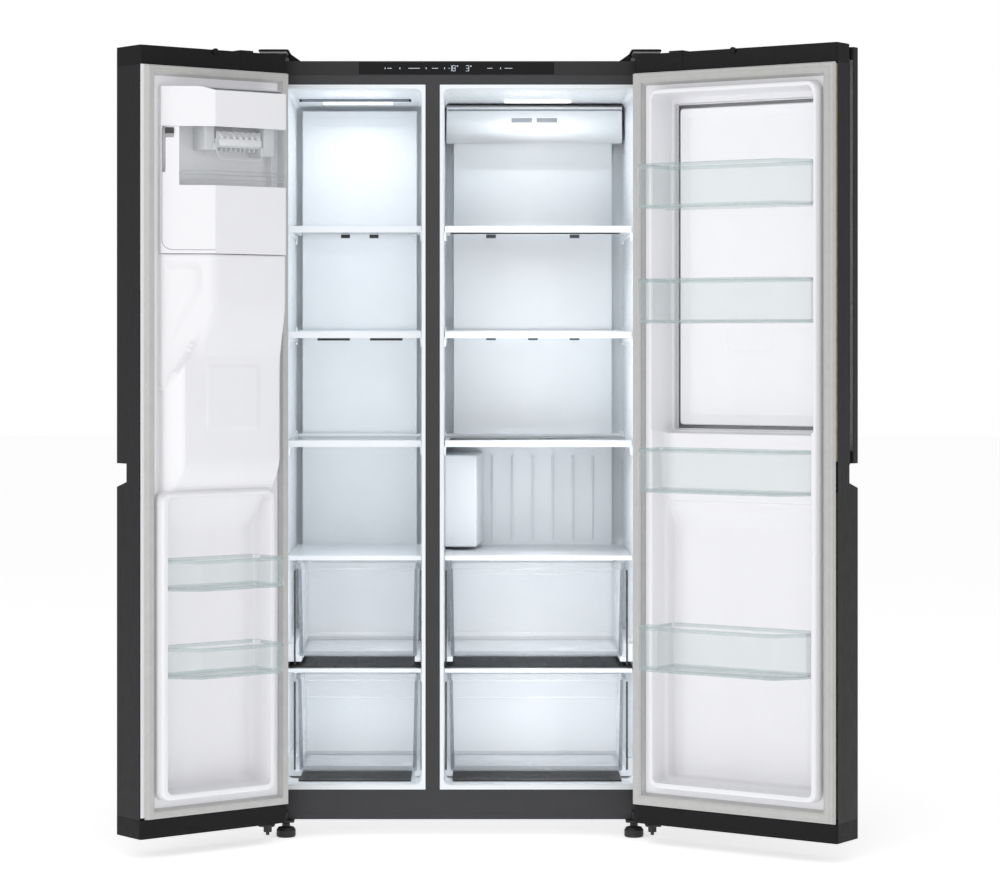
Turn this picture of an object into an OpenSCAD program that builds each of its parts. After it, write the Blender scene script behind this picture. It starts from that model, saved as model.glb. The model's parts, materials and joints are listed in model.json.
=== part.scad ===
// Side by side refrigerator: freezer on the left, fridge on the right, both doors standing open.
// The frame has +Z up and -Y out of the front. The origin is on the floor, in the middle of the
// width, in the plane of the cabinet's front face that the doors close against.
// Door parts are drawn with the door shut, and then swung open about the door's hinge axis.

/* [Cabinet] */
// Width of the case
case_w = 913; // [905:1:925]
// Depth of the case, without doors
case_d = 620; // [615:1:640]
// Height of the case top above the floor
case_top = 1771; // [1768:1:1773]
// Thickness of the case's steel sheet
sheet = 1; // [0.8:0.1:1.2]
// Middle of the post between the two compartments
post_x = -62.5; // [-66:0.5:-60]
// Thickness of the plastic liners
liner_t = 2.5; // [2:0.5:3]
// Height of the top shelf
top_shelf_z = 1398; // [1385:1:1410]
// Height of the middle shelf
middle_shelf_z = 1152; // [1140:1:1165]
// Height of the low shelf
low_shelf_z = 899; // [890:1:910]

/* [Doors] */
// Thickness of a door
door_t = 100; // [98:1:102]
// Angle that the freezer door stands open at rest
freezer_open = 141.5; // [100:0.5:150]
// Angle that the fridge door stands open at rest
fridge_open = 145; // [100:0.5:150]
// Radius of the door hinge pins
pin_r = 6; // [5:0.5:7]
// Radial clearance of a pin in its bore
pin_clear = 0.05; // [0.02:0.01:0.09]
// Depth of the grip channel across the doors
grip_depth = 43; // [38:1:46]

/* [Drawers] */
// Wall thickness of the drawers
drawer_t = 3; // [2.5:0.5:4]
// Front plane of the drawers behind the cabinet's front face
drawer_y = 100; // [96:1:110]

/* [Hidden] */
$fn = 48;

side = case_w / 2;
base_z = 38;
floor_plate_z = [60, 62];
rear_y = case_d - sheet;
frame_t = 2;

// Compartments: clear inside width, height and depth, and the white flange round each opening
freezer_x = [-side + 55.5, post_x - 25.5];
fridge_x = [post_x + 25.5, side - 55.5];
inside_z = [117, 1708];
inside_y = 545;
step_y = 390;
step_z = 330;
corner_r = 14;
freezer_flange_x = [-side + 34.5, post_x - 16.5];
fridge_flange_x = [post_x + 16.5, side - 34.5];
flange_z = [106, 1717];
machine_y = 430;
machine_z = 290;

// Top trim with its control display
trim_z = [1739, case_top];
display_x = [-231, 215];
display_z = [1741, 1768];

// Shelves, drawer covers, dividers and drawers
shelf_z = [top_shelf_z, middle_shelf_z, low_shelf_z];
shelf_y = [118, 500];
cover_z = 633;
divider_z = 372;
upper_drawer_z = [399, 617];
lower_drawer_z = [133, 360];
freezer_drawer_x = [-380, -93];
crisper_x = [-29, 384];
upper_drawer_d = 380;
lower_drawer_d = 275;
duct_y = 505;
duct_z = [345, 1695];
fridge_duct_x = [-15, 372];
fridge_box_x = [-33, 393.5];
duct_box_top = 1703;
duct_top_y = 430;
duct_top_z = [1615, 1700];

// Doors, measured shut
hinge_x = side - 21;
hinge_y = -64.3;
door_in = -15;
door_out = door_in - door_t;
door_z = [45, 1776];
cap_h = 42;
skin_z = [door_z[0] + cap_h, door_z[1] - cap_h];
skin_t = 1.2;
door_r = 6;
freezer_door_x = [-side + 3, post_x - 2];
fridge_door_x = [post_x + 2, side - 3];
grip_z = [822, 862];
grip_drop = 13;
grip_t = 3;
freezer_gasket_w = 22;
fridge_gasket_w = 28;
gasket_y = [door_in, -0.3];
gasket_slope = 2.4;
freezer_gasket_x = [freezer_door_x[0] + 3, freezer_door_x[1] - 10.5];
fridge_gasket_x = grow(fridge_door_x, -3);
face_t = 3;

// Freezer door's lining: tub for the bins, and the housing over the dispenser
freezer_tub_x = [-386, -113];
freezer_tub_z = [142, 790];
tub_y = -45;
dyke_y = 20;
dyke_w = 13;
bulge_x = [-399, -111];
bulge_fold_x = -210.6;
bulge_low_fold_x = -143.5;
bulge_y = 60;
bulge_low_y = 38.5;
bulge_z = [780, 1321];
bin_gap_z = 1;
ice_z = [bulge_z[1] + bin_gap_z, 1600];
hood_z = [1600.4, 1688];
window_x = -145;
window_z = 1472;
latch_angle = -33.1;
latch_at = [-125, 3.4];
latch_z = [1576, 1597];

// Dispenser in the freezer door's front
dispenser_x = [-354, -164];
dispenser_z = [905, 1235];
dispenser_back = -32;
tray_z = dispenser_z[0] + 10;
lever_pivot = [-50, 1168];
lever_r = 4;

// Fridge door's lining: the way through behind the outer door, and the lower tub
fridge_tub_x = [-13.5, 386.5];
fridge_tub_z = [145, 1682];
fridge_dyke_y = 17;
way_x = [-19.5, 378.5];
way_z = [931, 1666];
frame_out = -75;
shelf_face_y = -30;
upper_face_y = -66;
upper_face_z = [925, fridge_tub_z[1]];
low_tub_x = [-2, 375];
low_tub_y = -60;
low_tub_z = [152, 770];
bin_front_y = 72;
outer_in = -86;
outer_z = [864, 1771];
outer_pin = [side - 10, door_out + 10];
outer_pin_r = 3.5;

function grow(r, by) = [r[0] - by, r[1] + by];
function middle(r) = (r[0] + r[1]) / 2;

// A block from its lowest to its highest X, Y and Z
module block(x, y, z) {
    translate([x[0], y[0], z[0]])
        cube([x[1] - x[0], y[1] - y[0], z[1] - z[0]]);
}

module round_rect(x, y, r) {
    translate([x[0] + r, y[0]]) square([x[1] - x[0] - 2 * r, y[1] - y[0]]);
    translate([x[0], y[0] + r]) square([x[1] - x[0], y[1] - y[0] - 2 * r]);
    for (cx = [x[0] + r, x[1] - r], cy = [y[0] + r, y[1] - r])
        translate([cx, cy]) circle(r);
}

// Rounded rectangles seen from the front, and from above
module slab_y(x, y, z, r) {
    translate([0, y[1], 0]) rotate([90, 0, 0])
        linear_extrude(y[1] - y[0]) round_rect(x, z, r);
}

module slab_z(x, y, z, r) {
    translate([0, 0, z[0]]) linear_extrude(z[1] - z[0]) round_rect(x, y, r);
}

// Outlines drawn from above, from the side as [Y, Z], and from the front as [X, Z]
module plan(points, z) {
    translate([0, 0, z[0]]) linear_extrude(z[1] - z[0]) polygon(points);
}

module side_profile(points, x) {
    translate([x[0], 0, 0]) rotate([90, 0, 90]) linear_extrude(x[1] - x[0]) polygon(points);
}

module front_profile(points, y) {
    translate([0, y[1], 0]) rotate([90, 0, 0]) linear_extrude(y[1] - y[0]) polygon(points);
}

module rod(at, z, r) {
    translate([at[0], at[1], z[0]]) cylinder(h = z[1] - z[0], r = r);
}

module rod_x(x, at, r) {
    translate([x[0], at[0], at[1]]) rotate([0, 90, 0]) cylinder(h = x[1] - x[0], r = r);
}

module rod_y(y, at, r) {
    translate([at[0], y[0], at[1]]) rotate([-90, 0, 0]) cylinder(h = y[1] - y[0], r = r);
}

// Swings what is drawn shut to the door's rest angle
module on_freezer_door() {
    translate([-hinge_x, hinge_y, 0]) rotate(-freezer_open) translate([hinge_x, -hinge_y, 0])
        children();
}

module on_fridge_door() {
    translate([hinge_x, hinge_y, 0]) rotate(fridge_open) translate([-hinge_x, -hinge_y, 0])
        children();
}

module both_sides() {
    children();
    mirror([1, 0, 0]) children();
}

/* ---- Cabinet ---- */

module cabinet_shell() {
    color("#2b2b2d") difference() {
        block([-side, side], [frame_t, rear_y], [base_z, case_top]);
        block(grow([-side, side], -sheet), [0, case_d], [0, case_top - sheet]);
    }
}

module back_panel() {
    color("silver") difference() {
        block([-side, side], [rear_y, case_d], [machine_z + 10, case_top]);
        for (z = [500 : 200 : 1500], x = [-200, 200])
            rod_y([rear_y - 1, case_d + 1], [x, z], 3);
    }
}

module machine_cover() {
    color("dimgray") difference() {
        block([-side, side], [rear_y, case_d], [base_z, machine_z + 10]);
        for (row = [0 : 6], x = [-330 : 110 : 330])
            block([x - 40, x + 40], [rear_y - 1, case_d + 1], [110 + 22 * row, 116 + 22 * row]);
        rod_y([rear_y - 1, case_d + 1], [-400, 80], 12.3);
        rod_y([rear_y - 1, case_d + 1], [400, 80], 13.3);
    }
}

module roller_ears(x) {
    for (ear = [x - 17, x + 13])
        difference() {
            block([ear, ear + 4], [536, 584], [8, floor_plate_z[0]]);
            rod_x([ear - 1, ear + 5], [560, 21], 4);
        }
    rod_x([x - 17, x + 17], [560, 21], 4);
}

module bottom_plate() {
    color("gray") {
        difference() {
            block(grow([-side, side], -sheet), [frame_t, rear_y], floor_plate_z);
            for (x = [-390 : 130 : 390])
                rod([x, 520], [floor_plate_z[0] - 1, floor_plate_z[1] + 1], 14);
        }
        both_sides() roller_ears(380);
    }
}

module rear_rollers() {
    color("dimgray") both_sides() difference() {
        rod_x([368, 392], [560, 21], 21);
        rod_x([367, 393], [560, 21], 4 + pin_clear);
        for (x = [367, 388])
            translate([x, 560, 21]) rotate([0, 90, 0]) difference() {
                cylinder(h = 5, r = 16);
                translate([0, 0, -1]) cylinder(h = 7, r = 8);
            }
    }
}

module front_frame() {
    color("#47474a") difference() {
        block([-side, side], [0, frame_t], [flange_z[0], trim_z[0]]);
        block(freezer_flange_x, [-1, frame_t + 1], [0, flange_z[1]]);
        block(fridge_flange_x, [-1, frame_t + 1], [0, flange_z[1]]);
    }
}

module top_trim() {
    color("#333335") difference() {
        union() {
            block([-side, side], [0, frame_t], trim_z);
            block(grow([-side, side], -20), [frame_t, 14], [trim_z[0] + 1, case_top - 2]);
        }
        block(display_x, [-1, 2.5], display_z);
        block(grow(display_x, -30), [6, 15], [trim_z[0] + 6, case_top - 8]);
    }
}

module display_panel() {
    color("#1c1c20") block(display_x, [0.2, 2.5], display_z);
}

module base_panel() {
    color("#47474a") difference() {
        block([-side, side], [0, frame_t], [base_z, flange_z[0]]);
        for (x = [-side + 14, side - 14]) rod_y([-1, frame_t + 1], [x, 72], 2.5);
    }
}

module liner_room(x, by) {
    difference() {
        slab_y(grow(x, by), [by > 0 ? frame_t : -1, inside_y + by], grow(inside_z, by), corner_r + by);
        block(grow(x, by + 1), [step_y + by, inside_y + 10], [0, step_z - by]);
    }
}

module insulation_foam() {
    color("khaki") difference() {
        block(grow([-side, side], -sheet), [frame_t, rear_y], [floor_plate_z[1], case_top - sheet]);
        liner_room(freezer_x, liner_t);
        liner_room(fridge_x, liner_t);
        block(grow([-side, side], 1), [machine_y, case_d], [0, machine_z]);
        block(grow([-side, side], -19), [0, 14.1], [trim_z[0], case_top]);
    }
}

module liner(x, flange_x) {
    difference() {
        union() {
            liner_room(x, liner_t);
            slab_y(flange_x, [0, frame_t], flange_z, 1);
        }
        liner_room(x, 0);
    }
    for (z = shelf_z) {
        block([x[0] - 1, x[0] + 5], [140, 480], [z - 22, z - 9]);
        block([x[1] - 5, x[1] + 1], [140, 480], [z - 22, z - 9]);
    }
}

module freezer_liner() {
    color("#e6ebf2") liner(freezer_x, freezer_flange_x);
}

module fridge_liner() {
    color("#e6ebf2") liner(fridge_x, fridge_flange_x);
}

// A duct cover: a face plate with returns down its sides
module duct_cover(x) {
    difference() {
        block(x, [duct_y, inside_y], duct_z);
        block(grow(x, -3), [duct_y + 3, inside_y + 1], [duct_z[0] - 1, duct_z[1] - 3]);
    }
}

// The box that stands forward at the top of the fridge's duct cover, drawn full, or smaller by its wall
module duct_box(x, by) {
    side_profile([[duct_y + 1 + by, duct_top_z[0] + by], [duct_top_y + by, duct_top_z[0] + by],
        [duct_top_y + by, duct_top_z[1] - 8 - by], [duct_top_y - 20 + 3 * by, duct_box_top - by],
        [duct_y + 1 + by, duct_box_top - by]], grow(x, -by));
}

module vent(x, z, y = duct_y) {
    block(x, [y - 1, y + 6], z);
}

module freezer_duct_panel() {
    color("#dfe5ea") difference() {
        duct_cover([-386, -106]);
        for (x = [-281, -211]) vent([x - 11, x + 11], [1384, 1393]);
        for (x = [-310, -181]) vent([x - 40, x + 40], [1133, 1141]);
        block([-351, -142], [duct_y - 1, duct_y + 1.5], [1658, 1680]);
    }
}

module fridge_duct_panel() {
    color("#dfe5ea") {
        difference() {
            union() {
                duct_cover(fridge_duct_x);
                duct_box(fridge_box_x, 0);
            }
            duct_box(fridge_box_x, 3);
            for (x = [76, 281]) vent([x - 12, x + 12], [1384, 1393]);
            for (x = [76, 179, 281]) vent([x - 12, x + 12], [1134, 1144]);
            for (x = [100, 263]) vent([x - 35, x + 35], [872, 881]);
            for (x = [150, 211]) vent([x - 25, x + 25], [1662, 1673], duct_top_y);
        }
        for (rib = [0 : 5]) block([78 + 48.6 * rib, 84 + 48.6 * rib], [duct_y - 5, duct_y], [645, 850]);
        rod_y([duct_y - 8, duct_y], [179, 1411], 5.5);
    }
}

module lamp_lenses() {
    color("white") {
        block([-330, -162], [385, 401], [inside_z[1] - 5, inside_z[1]]);
        block([106, 266], [332, 352], [inside_z[1] - 5, inside_z[1]]);
        block([-383, -116], [296, 306], [inside_z[1] - 6, inside_z[1]]);
    }
}

module water_tank() {
    color("white") difference() {
        plan([[fridge_x[0], 300], [40, 300], [58, 500], [fridge_x[0], 500]], [640, 860]);
        plan([[fridge_x[0] + 3, 303], [37, 303], [54, 497], [fridge_x[0] + 3, 497]], [643, 857]);
    }
}

module shelf_plate(x, z) {
    block(grow(x, -5), [shelf_y[0] + 4, shelf_y[1] - 3], [z - 4, z]);
}

module shelf_glass() {
    color("lightcyan", 0.4) for (x = [freezer_x, fridge_x], z = shelf_z) shelf_plate(x, z);
}

module shelf_frame(x, z) {
    difference() {
        union() {
            block(grow(x, -2), [shelf_y[0], shelf_y[0] + 16], [z - 14, z + 1]);
            block(grow(x, -2), [shelf_y[0], shelf_y[1] - 10], [z - 9, z + 0.5]);
            block(grow(x, -2), [shelf_y[1] - 10, shelf_y[1]], [z - 4.5, z + 6]);
        }
        block(grow(x, -14), [shelf_y[0] + 16, shelf_y[1] - 10], [z - 20, z + 20]);
        shelf_plate(x, z);
        block(grow(x, -5), [shelf_y[0] + 16, shelf_y[1] - 10], [z - 1, z + 2]);
    }
}

module shelf_trims() {
    color("white") for (x = [freezer_x, fridge_x], z = shelf_z) shelf_frame(x, z);
}

// The glass-topped cover over the upper drawer, and the ribbed divider under it
module drawer_shelves(x) {
    difference() {
        union() {
            block(grow(x, -2), [drawer_y - 6, duct_y - 7], [cover_z - 4, cover_z]);
            block(grow(x, -2), [drawer_y - 6, drawer_y + 6], [cover_z - 10, cover_z + 1]);
            block(grow(x, -2), [drawer_y - 6, duct_y - 7], [divider_z - 8, divider_z - 4]);
            block(grow(x, -2), [drawer_y - 6, drawer_y + 4], [divider_z - 9, divider_z]);
        }
        block(grow(x, -18), [drawer_y + 20, duct_y - 40], [cover_z - 1, cover_z + 2]);
    }
    for (rib = [0 : 11])
        block(grow(x, -12), [drawer_y + 20 + 30 * rib, drawer_y + 24 + 30 * rib],
            [divider_z - 4, divider_z]);
}

module freezer_drawer_shelves() {
    color("gainsboro") drawer_shelves(freezer_x);
}

module fridge_drawer_shelves() {
    color("gainsboro") drawer_shelves(fridge_x);
}

// Runners under both edges of a drawer, each with an upright guide beside it
module rail_pair(room, drawer, z, depth) {
    y = [drawer_y + 8, drawer_y + 8 + depth];
    for (end = [0, 1]) {
        guide = end ? [drawer[1] + 1, room[1]] : [room[0], drawer[0] - 1];
        ledge = end ? [drawer[1] - 12, room[1]] : [room[0], drawer[0] + 12];
        block(ledge, y, [z - 12, z - 0.5]);
        block(guide, y, [z - 12, z + 30]);
    }
}

module drawer_rails() {
    color("white") {
        for (set = [[freezer_x, freezer_drawer_x], [fridge_x, crisper_x]])
            intersection() {
                liner_room(set[0], 0);
                union() {
                    rail_pair(set[0], set[1], upper_drawer_z[0], upper_drawer_d - 8);
                    rail_pair(set[0], set[1], lower_drawer_z[0], lower_drawer_d - 8);
                }
            }
    }
}

// A clear tub with a thicker front, a rolled rim and a finger grip under the top edge
module drawer(x, depth, z) {
    y = [drawer_y, drawer_y + depth];
    difference() {
        slab_y(x, y, z, 6);
        block(grow(x, -drawer_t), [y[0] + 7, y[1] - drawer_t], [z[0] + drawer_t, z[1] + 1]);
        block(grow(x, -drawer_t - 20), [y[0] - 1, y[0] + 3], [z[1] - 30, z[1] - 12]);
    }
}

module freezer_drawer_upper() {
    color("aliceblue", 0.5) drawer(freezer_drawer_x, upper_drawer_d, upper_drawer_z);
}

module freezer_drawer_lower() {
    color("aliceblue", 0.5) drawer(freezer_drawer_x, lower_drawer_d, lower_drawer_z);
}

module crisper_upper() {
    color("aliceblue", 0.5) drawer(crisper_x, upper_drawer_d, upper_drawer_z);
}

module crisper_lower() {
    color("aliceblue", 0.5) drawer(crisper_x, lower_drawer_d, lower_drawer_z);
}

/* ---- Hinges and feet ---- */

module top_hinge_brackets() {
    color("gray") both_sides() {
        block([hinge_x - 44, side - 4], [hinge_y - 15, 24], [1781, 1785]);
        block([hinge_x - 44, side - 4], [20, 24], [case_top, 1785]);
        block([hinge_x - 44, side - 4], [24, 84], [case_top, case_top + 4]);
        rod([hinge_x, hinge_y], [1746, 1781], pin_r);
    }
}

module hinge_covers() {
    color("#1d1d1e") both_sides() difference() {
        union() {
            slab_z([hinge_x - 48, side - 1], [hinge_y - 18, 92], [1785.5, 1790], 10);
            block([hinge_x - 48, side - 1], [4, 92], [case_top, 1790]);
            front_profile([[hinge_x - 48, case_top], [hinge_x - 48, 1788],
                [hinge_x - 72, case_top]], [8, 92]);
        }
        block([hinge_x - 45, side - 3], [0, 88], [case_top - 1, 1785.5]);
    }
}

module bottom_hinge_brackets() {
    color("#1d1d1e") both_sides() {
        difference() {
            union() {
                block([side - 78, side - 1], [-20, 64], [33, base_z - 0.1]);
                slab_z([hinge_x - 16, side - 1], [hinge_y - 16, -19], [33, base_z - 0.1], 8);
                block([side - 78, side - 6], [6, 64], [base_z - 0.2, floor_plate_z[0]]);
            }
            rod([side - 59.5, -8], [30, 70], 5.4);
            block([side - 72, side - 12], [12, 58], [base_z - 0.1, floor_plate_z[0] + 1]);
        }
        rod([hinge_x, hinge_y], [13, 20], 4);
        rod([hinge_x, hinge_y], [20, 33], 9.5);
        rod([hinge_x, hinge_y], [33, door_z[0] - 0.2], 10.5);
        rod([hinge_x, hinge_y], [33, 80], pin_r);
    }
}

module levelling_feet() {
    color("#151515") both_sides() translate([side - 59.5, -8, 0]) {
        rotate_extrude() polygon([[0, 0], [20, 0], [22, 3], [22, 16], [18, 22], [8, 24], [0, 24]]);
        translate([0, 0, 23]) cylinder(h = 34, r = 5);
        translate([0, 0, 24]) cylinder(h = 7, r = 9, $fn = 6);
    }
}

/* ---- Cooling system ---- */

module compressor() {
    color("#222222") translate([-230, 525, 0]) {
        translate([0, 0, 80]) rotate_extrude()
            polygon([[0, 0], [70, 0], [78, 12], [78, 90], [70, 104], [62, 112], [62, 140],
                [44, 160], [0, 168]]);
        for (x = [-75, 75], y = [-52, 52]) translate([x, y, floor_plate_z[1]]) {
            cylinder(h = 18, r = 12);
            translate([0, 0, 18]) cylinder(h = 10, r = 5);
        }
        translate([-88, -65, 78]) cube([176, 130, 3]);
        translate([60, -34, 100]) cube([34, 68, 60]);
    }
}

// Three rows of straight tube between fin plates, with a ring round the fan at one end
module condenser() {
    color("#303030") {
        for (fin = [0 : 9]) block([110 + 24 * fin, 111.5 + 24 * fin], [450, 600], [72, 210]);
        for (y = [475, 525, 575], z = [95, 140, 185]) rod_x([100, 340], [y, z], 4.5);
        difference() {
            block([60, 70], [445, 605], [floor_plate_z[1], 222]);
            rod_x([59, 71], [525, 142], 70);
        }
        for (y = [460, 590]) block([70, 110], [y - 3, y + 3], [floor_plate_z[1], 76]);
        block([30, 44], [505, 545], [floor_plate_z[1], 128]);
        difference() {
            rod_x([22, 44], [525, 142], 24);
            rod_x([40, 45], [525, 142], 4);
        }
    }
}

module fan_blades(radius, width) {
    for (turn = [0 : 60 : 300]) rotate(turn)
        rotate([0, 90, 0]) rotate(28) translate([-1, -width / 2, 8]) cube([2, width, radius - 10]);
}

module condenser_fan() {
    color("dimgray") translate([45, 525, 142]) rotate([0, 90, 0]) {
        translate([0, 0, 2]) cylinder(h = 18, r = 14);
        translate([0, 0, -4.5]) cylinder(h = 8, r = 3.95);
        translate([0, 0, 11]) fan_blades(62, 18);
    }
}

module evaporator() {
    color("silver") {
        for (fin = [0 : 12]) block([-366 + 19.5 * fin, -365 + 19.5 * fin], [511, 541], [420, 640]);
        for (y = [518, 534], z = [440 : 36 : 620]) rod_x([-372, -126], [y, z], 4);
        difference() {
            block([-316, -176], [532, 544.9], [700, 840]);
            rod_y([531, 535], [-246, 770], 66);
            rod_y([530, 539], [-246, 770], 3);
        }
    }
}

module evaporator_fan() {
    color("white") translate([-246, 509, 770]) rotate([-90, 0, 0]) {
        translate([0, 0, 4]) cylinder(h = 18, r = 12);
        translate([0, 0, 20]) cylinder(h = 8, r = 2.95);
        translate([0, 0, 12]) fan_blades(56, 16);
    }
}

// Inlet valve: its socket takes a 1/4 inch (6.35 mm) water tube from behind
module water_valve() {
    color("white") difference() {
        union() {
            block([-425, -375], [560, 600], [62, 104]);
            rod_y([599, case_d + 10], [-400, 80], 12);
            rod([-400, 580], [103, 132], 14);
        }
        rod_y([594, case_d + 11], [-400, 80], 3.3);
    }
}

module power_inlet_gland() {
    color("#111111") difference() {
        union() {
            rod_y([rear_y - 4, case_d + 12], [400, 80], 13);
            rod_y([rear_y - 4, rear_y], [400, 80], 18);
            rod_y([case_d, case_d + 3], [400, 80], 18);
        }
        rod_y([rear_y - 5, case_d + 13], [400, 80], 4.5);
    }
}

/* ---- Parts that both doors have ---- */

// The grip channel's section: its floor falls towards the front
module grip_room(x, by) {
    side_profile([[door_out - 1, grip_z[0] - grip_drop - by], [door_out + grip_depth + by, grip_z[0] - by],
        [door_out + grip_depth + by, grip_z[1] + by], [door_out - 1, grip_z[1] + by]], x);
}

// The foam's hairline joints above and below the grip channel
module foam_joints(x) {
    for (z = [grip_z[0] - grip_t, grip_z[1] + grip_t])
        block(grow(x, 1), [door_out, bulge_y], [z, z + 0.1]);
}

module skin(x, y, z) {
    difference() {
        slab_z(x, [door_out, y[1] + 20], z, door_r);
        slab_z(grow(x, -skin_t), [door_out + skin_t, y[1] + 30], grow(z, 1), door_r - skin_t);
        block(grow(x, 1), [y[1], y[1] + 40], grow(z, 1));
    }
}

// End cap: a box that is open towards the foam, with a boss for the hinge pin
module end_cap(x, y, pin_at, top) {
    z = top ? [skin_z[1], door_z[1]] : [door_z[0], skin_z[0]];
    room = top ? [z[0] - 1, z[1] - 4] : [z[0] + 4, z[1] + 1];
    bore = top ? [z[1] - 34, z[1] + 1] : [z[0] - 1, z[0] + 38];
    difference() {
        union() {
            difference() {
                slab_z(x, y, z, door_r);
                slab_z(grow(x, -4), grow(y, -4), room, 3);
            }
            rod(pin_at, z, 13.5);
        }
        rod(pin_at, bore, pin_r + pin_clear);
    }
}

// Gasket with its magnet strip. Its face slopes back beyond the hinge pin, so that the corner
// doesn't press into the frame as the door swings.
module gasket(x, w, pin_x) {
    z = grow(skin_z, -1);
    edge_x = pin_x < 0 ? x[0] : x[1];
    difference() {
        slab_y(x, gasket_y, z, 4);
        slab_y(grow(x, -w), grow(gasket_y, 1), grow(z, -w), 3);
        slab_y_ring(grow(x, -9), [gasket_y[0] + 3, gasket_y[0] + 8], grow(z, -9), w - 12);
        plan([[pin_x, gasket_y[1] + 0.5], [pin_x, gasket_y[1]], [edge_x, gasket_y[1] - gasket_slope],
            [edge_x + sign(pin_x), gasket_y[1] - gasket_slope], [edge_x + sign(pin_x), 1]], grow(z, 1));
    }
    slab_y_ring(grow(x, -10), [gasket_y[0] + 2.9, gasket_y[0] + 8.1], grow(z, -10), w - 14);
}

module slab_y_ring(x, y, z, w) {
    difference() {
        slab_y(x, y, z, 3);
        slab_y(grow(x, -w), grow(y, 1), grow(z, -w), 3);
    }
}

// Clear bin between its hinge end and its free end. The hinge end reaches over the raised rim, and
// the front corner at the free end is cut away so that it clears the post.
module bin_plan(ends, over_rim, back, rim_y, by) {
    s = ends[0] > ends[1] ? 1 : -1;
    front = bin_front_y;
    cut = [ends[1] + s * 48, front - 62];
    polygon([[ends[0] - by * s, back + by], [ends[0] - by * s, rim_y + 2 + by],
        [over_rim - by * s, rim_y + 2 + by], [over_rim - by * s, front - by],
        [cut[0] + by * s * 0.5, front - by], [ends[1] + by * s, cut[1] - by * 0.5],
        [ends[1] + by * s, back + by]]);
}

module door_bin(ends, over_rim, back, rim_y, z) {
    difference() {
        translate([0, 0, z[0]]) linear_extrude(z[1] - z[0]) bin_plan(ends, over_rim, back, rim_y, 0);
        translate([0, 0, z[0] + 3]) linear_extrude(z[1] - z[0])
            bin_plan(ends, over_rim, back, rim_y, 2.5);
    }
}

/* ---- Freezer door ---- */

module freezer_door_panel() {
    color("#2b2b2d") on_freezer_door() difference() {
        skin(freezer_door_x, [door_out, door_in - face_t], skin_z);
        grip_room(grow(freezer_door_x, 1), 0);
        block(dispenser_x, [door_out - 1, door_out + 3], dispenser_z);
    }
}

module grip_trim(x) {
    difference() {
        intersection() {
            grip_room(grow(x, -skin_t), grip_t);
            slab_z(grow(x, -skin_t), [door_out + skin_t, door_in], grow(skin_z, -50), door_r - skin_t);
        }
        grip_room(grow(x, 1), 0);
    }
}

module cap_marks(x, side_x) {
    block(side_x, [door_in - 60, door_in + 0.8], [skin_z[1] + 2, door_z[1] + 3.5]);
    rod_y([door_in - 1, door_in + 5], [middle(x), door_z[1] - 4], 7);
}

module freezer_door_trims() {
    color("#1d1d1e") on_freezer_door() {
        for (top = [false, true])
            end_cap(freezer_door_x, [door_out, door_in], [-hinge_x, hinge_y], top);
        difference() {
            cap_marks(freezer_door_x, [-hinge_x + 74, -hinge_x + 109]);
            block(grow(freezer_door_x, -4), grow([door_out, door_in], -4), [0, door_z[1] - 4]);
        }
        grip_trim(freezer_door_x);
    }
}

// The housing that stands out over the dispenser, drawn full, or smaller by its wall
module freezer_bulge(by) {
    upper = [[bulge_x[0] + by, door_in - 1], [bulge_x[0] + by, bulge_y - by],
        [bulge_fold_x - 0.3 * by, bulge_y - by], [bulge_x[1] - by, -5 - 0.5 * by],
        [bulge_x[1] - by, door_in - 1]];
    lower = [[bulge_x[0] + by, tub_y], [bulge_x[0] + by, bulge_low_y - by],
        [bulge_low_fold_x - 0.6 * by, bulge_low_y - by], [bulge_x[1] - by, -12 - 0.5 * by],
        [bulge_x[1] - by, tub_y]];
    top_z = bulge_z[1] - by;
    intersection() {
        plan(upper, [1021, top_z]);
        side_profile([[door_in - 1, 1021], [bulge_low_y - by, 1021], [bulge_low_y - by, 1090],
            [bulge_y - by, 1200], [bulge_y - by, top_z], [door_in - 1, top_z]], bulge_x);
    }
    intersection() {
        plan(lower, [bulge_z[0] + by, 1234]);
        side_profile([[door_in - 1, bulge_z[0] - 5], [-6 - by, bulge_z[0] + by],
            [bulge_low_y - by, 850 + by], [bulge_low_y - by, 1234], [door_in - 1, 1234]], bulge_x);
        front_profile([[bulge_x[0], bulge_z[0]], [bulge_x[1] - by, bulge_z[0]],
            [bulge_x[1] - by, 1021 - 0.22 * by], [bulge_fold_x - 0.64 * by, 1234 - by],
            [bulge_x[0], 1234 - by]], [tub_y, bulge_y]);
    }
}

module tub_shell(x, y, z, r) {
    difference() {
        slab_y(grow(x, liner_t), [y[0] - liner_t, y[1]], grow(z, liner_t), r + liner_t);
        slab_y(x, [y[0], y[1] + 1], z, r);
    }
}

module freezer_door_liner() {
    color("#f4f4f8") on_freezer_door() {
        difference() {
            union() {
                block(grow(freezer_door_x, -0.4), [door_in - face_t, door_in], skin_z);
                slab_y(grow(freezer_tub_x, dyke_w), [door_in, dyke_y],
                    [freezer_tub_z[0] - dyke_w, freezer_tub_z[1]], 22);
                tub_shell(freezer_tub_x, [tub_y, door_in], freezer_tub_z, 16);
            }
            slab_y(freezer_tub_x, [tub_y, dyke_y + 1], freezer_tub_z, 16);
            freezer_bulge(liner_t);
        }
        difference() {
            freezer_bulge(0);
            freezer_bulge(liner_t);
            block(freezer_door_x, [-90, door_in], [0, 2000]);
        }
    }
}

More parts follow.
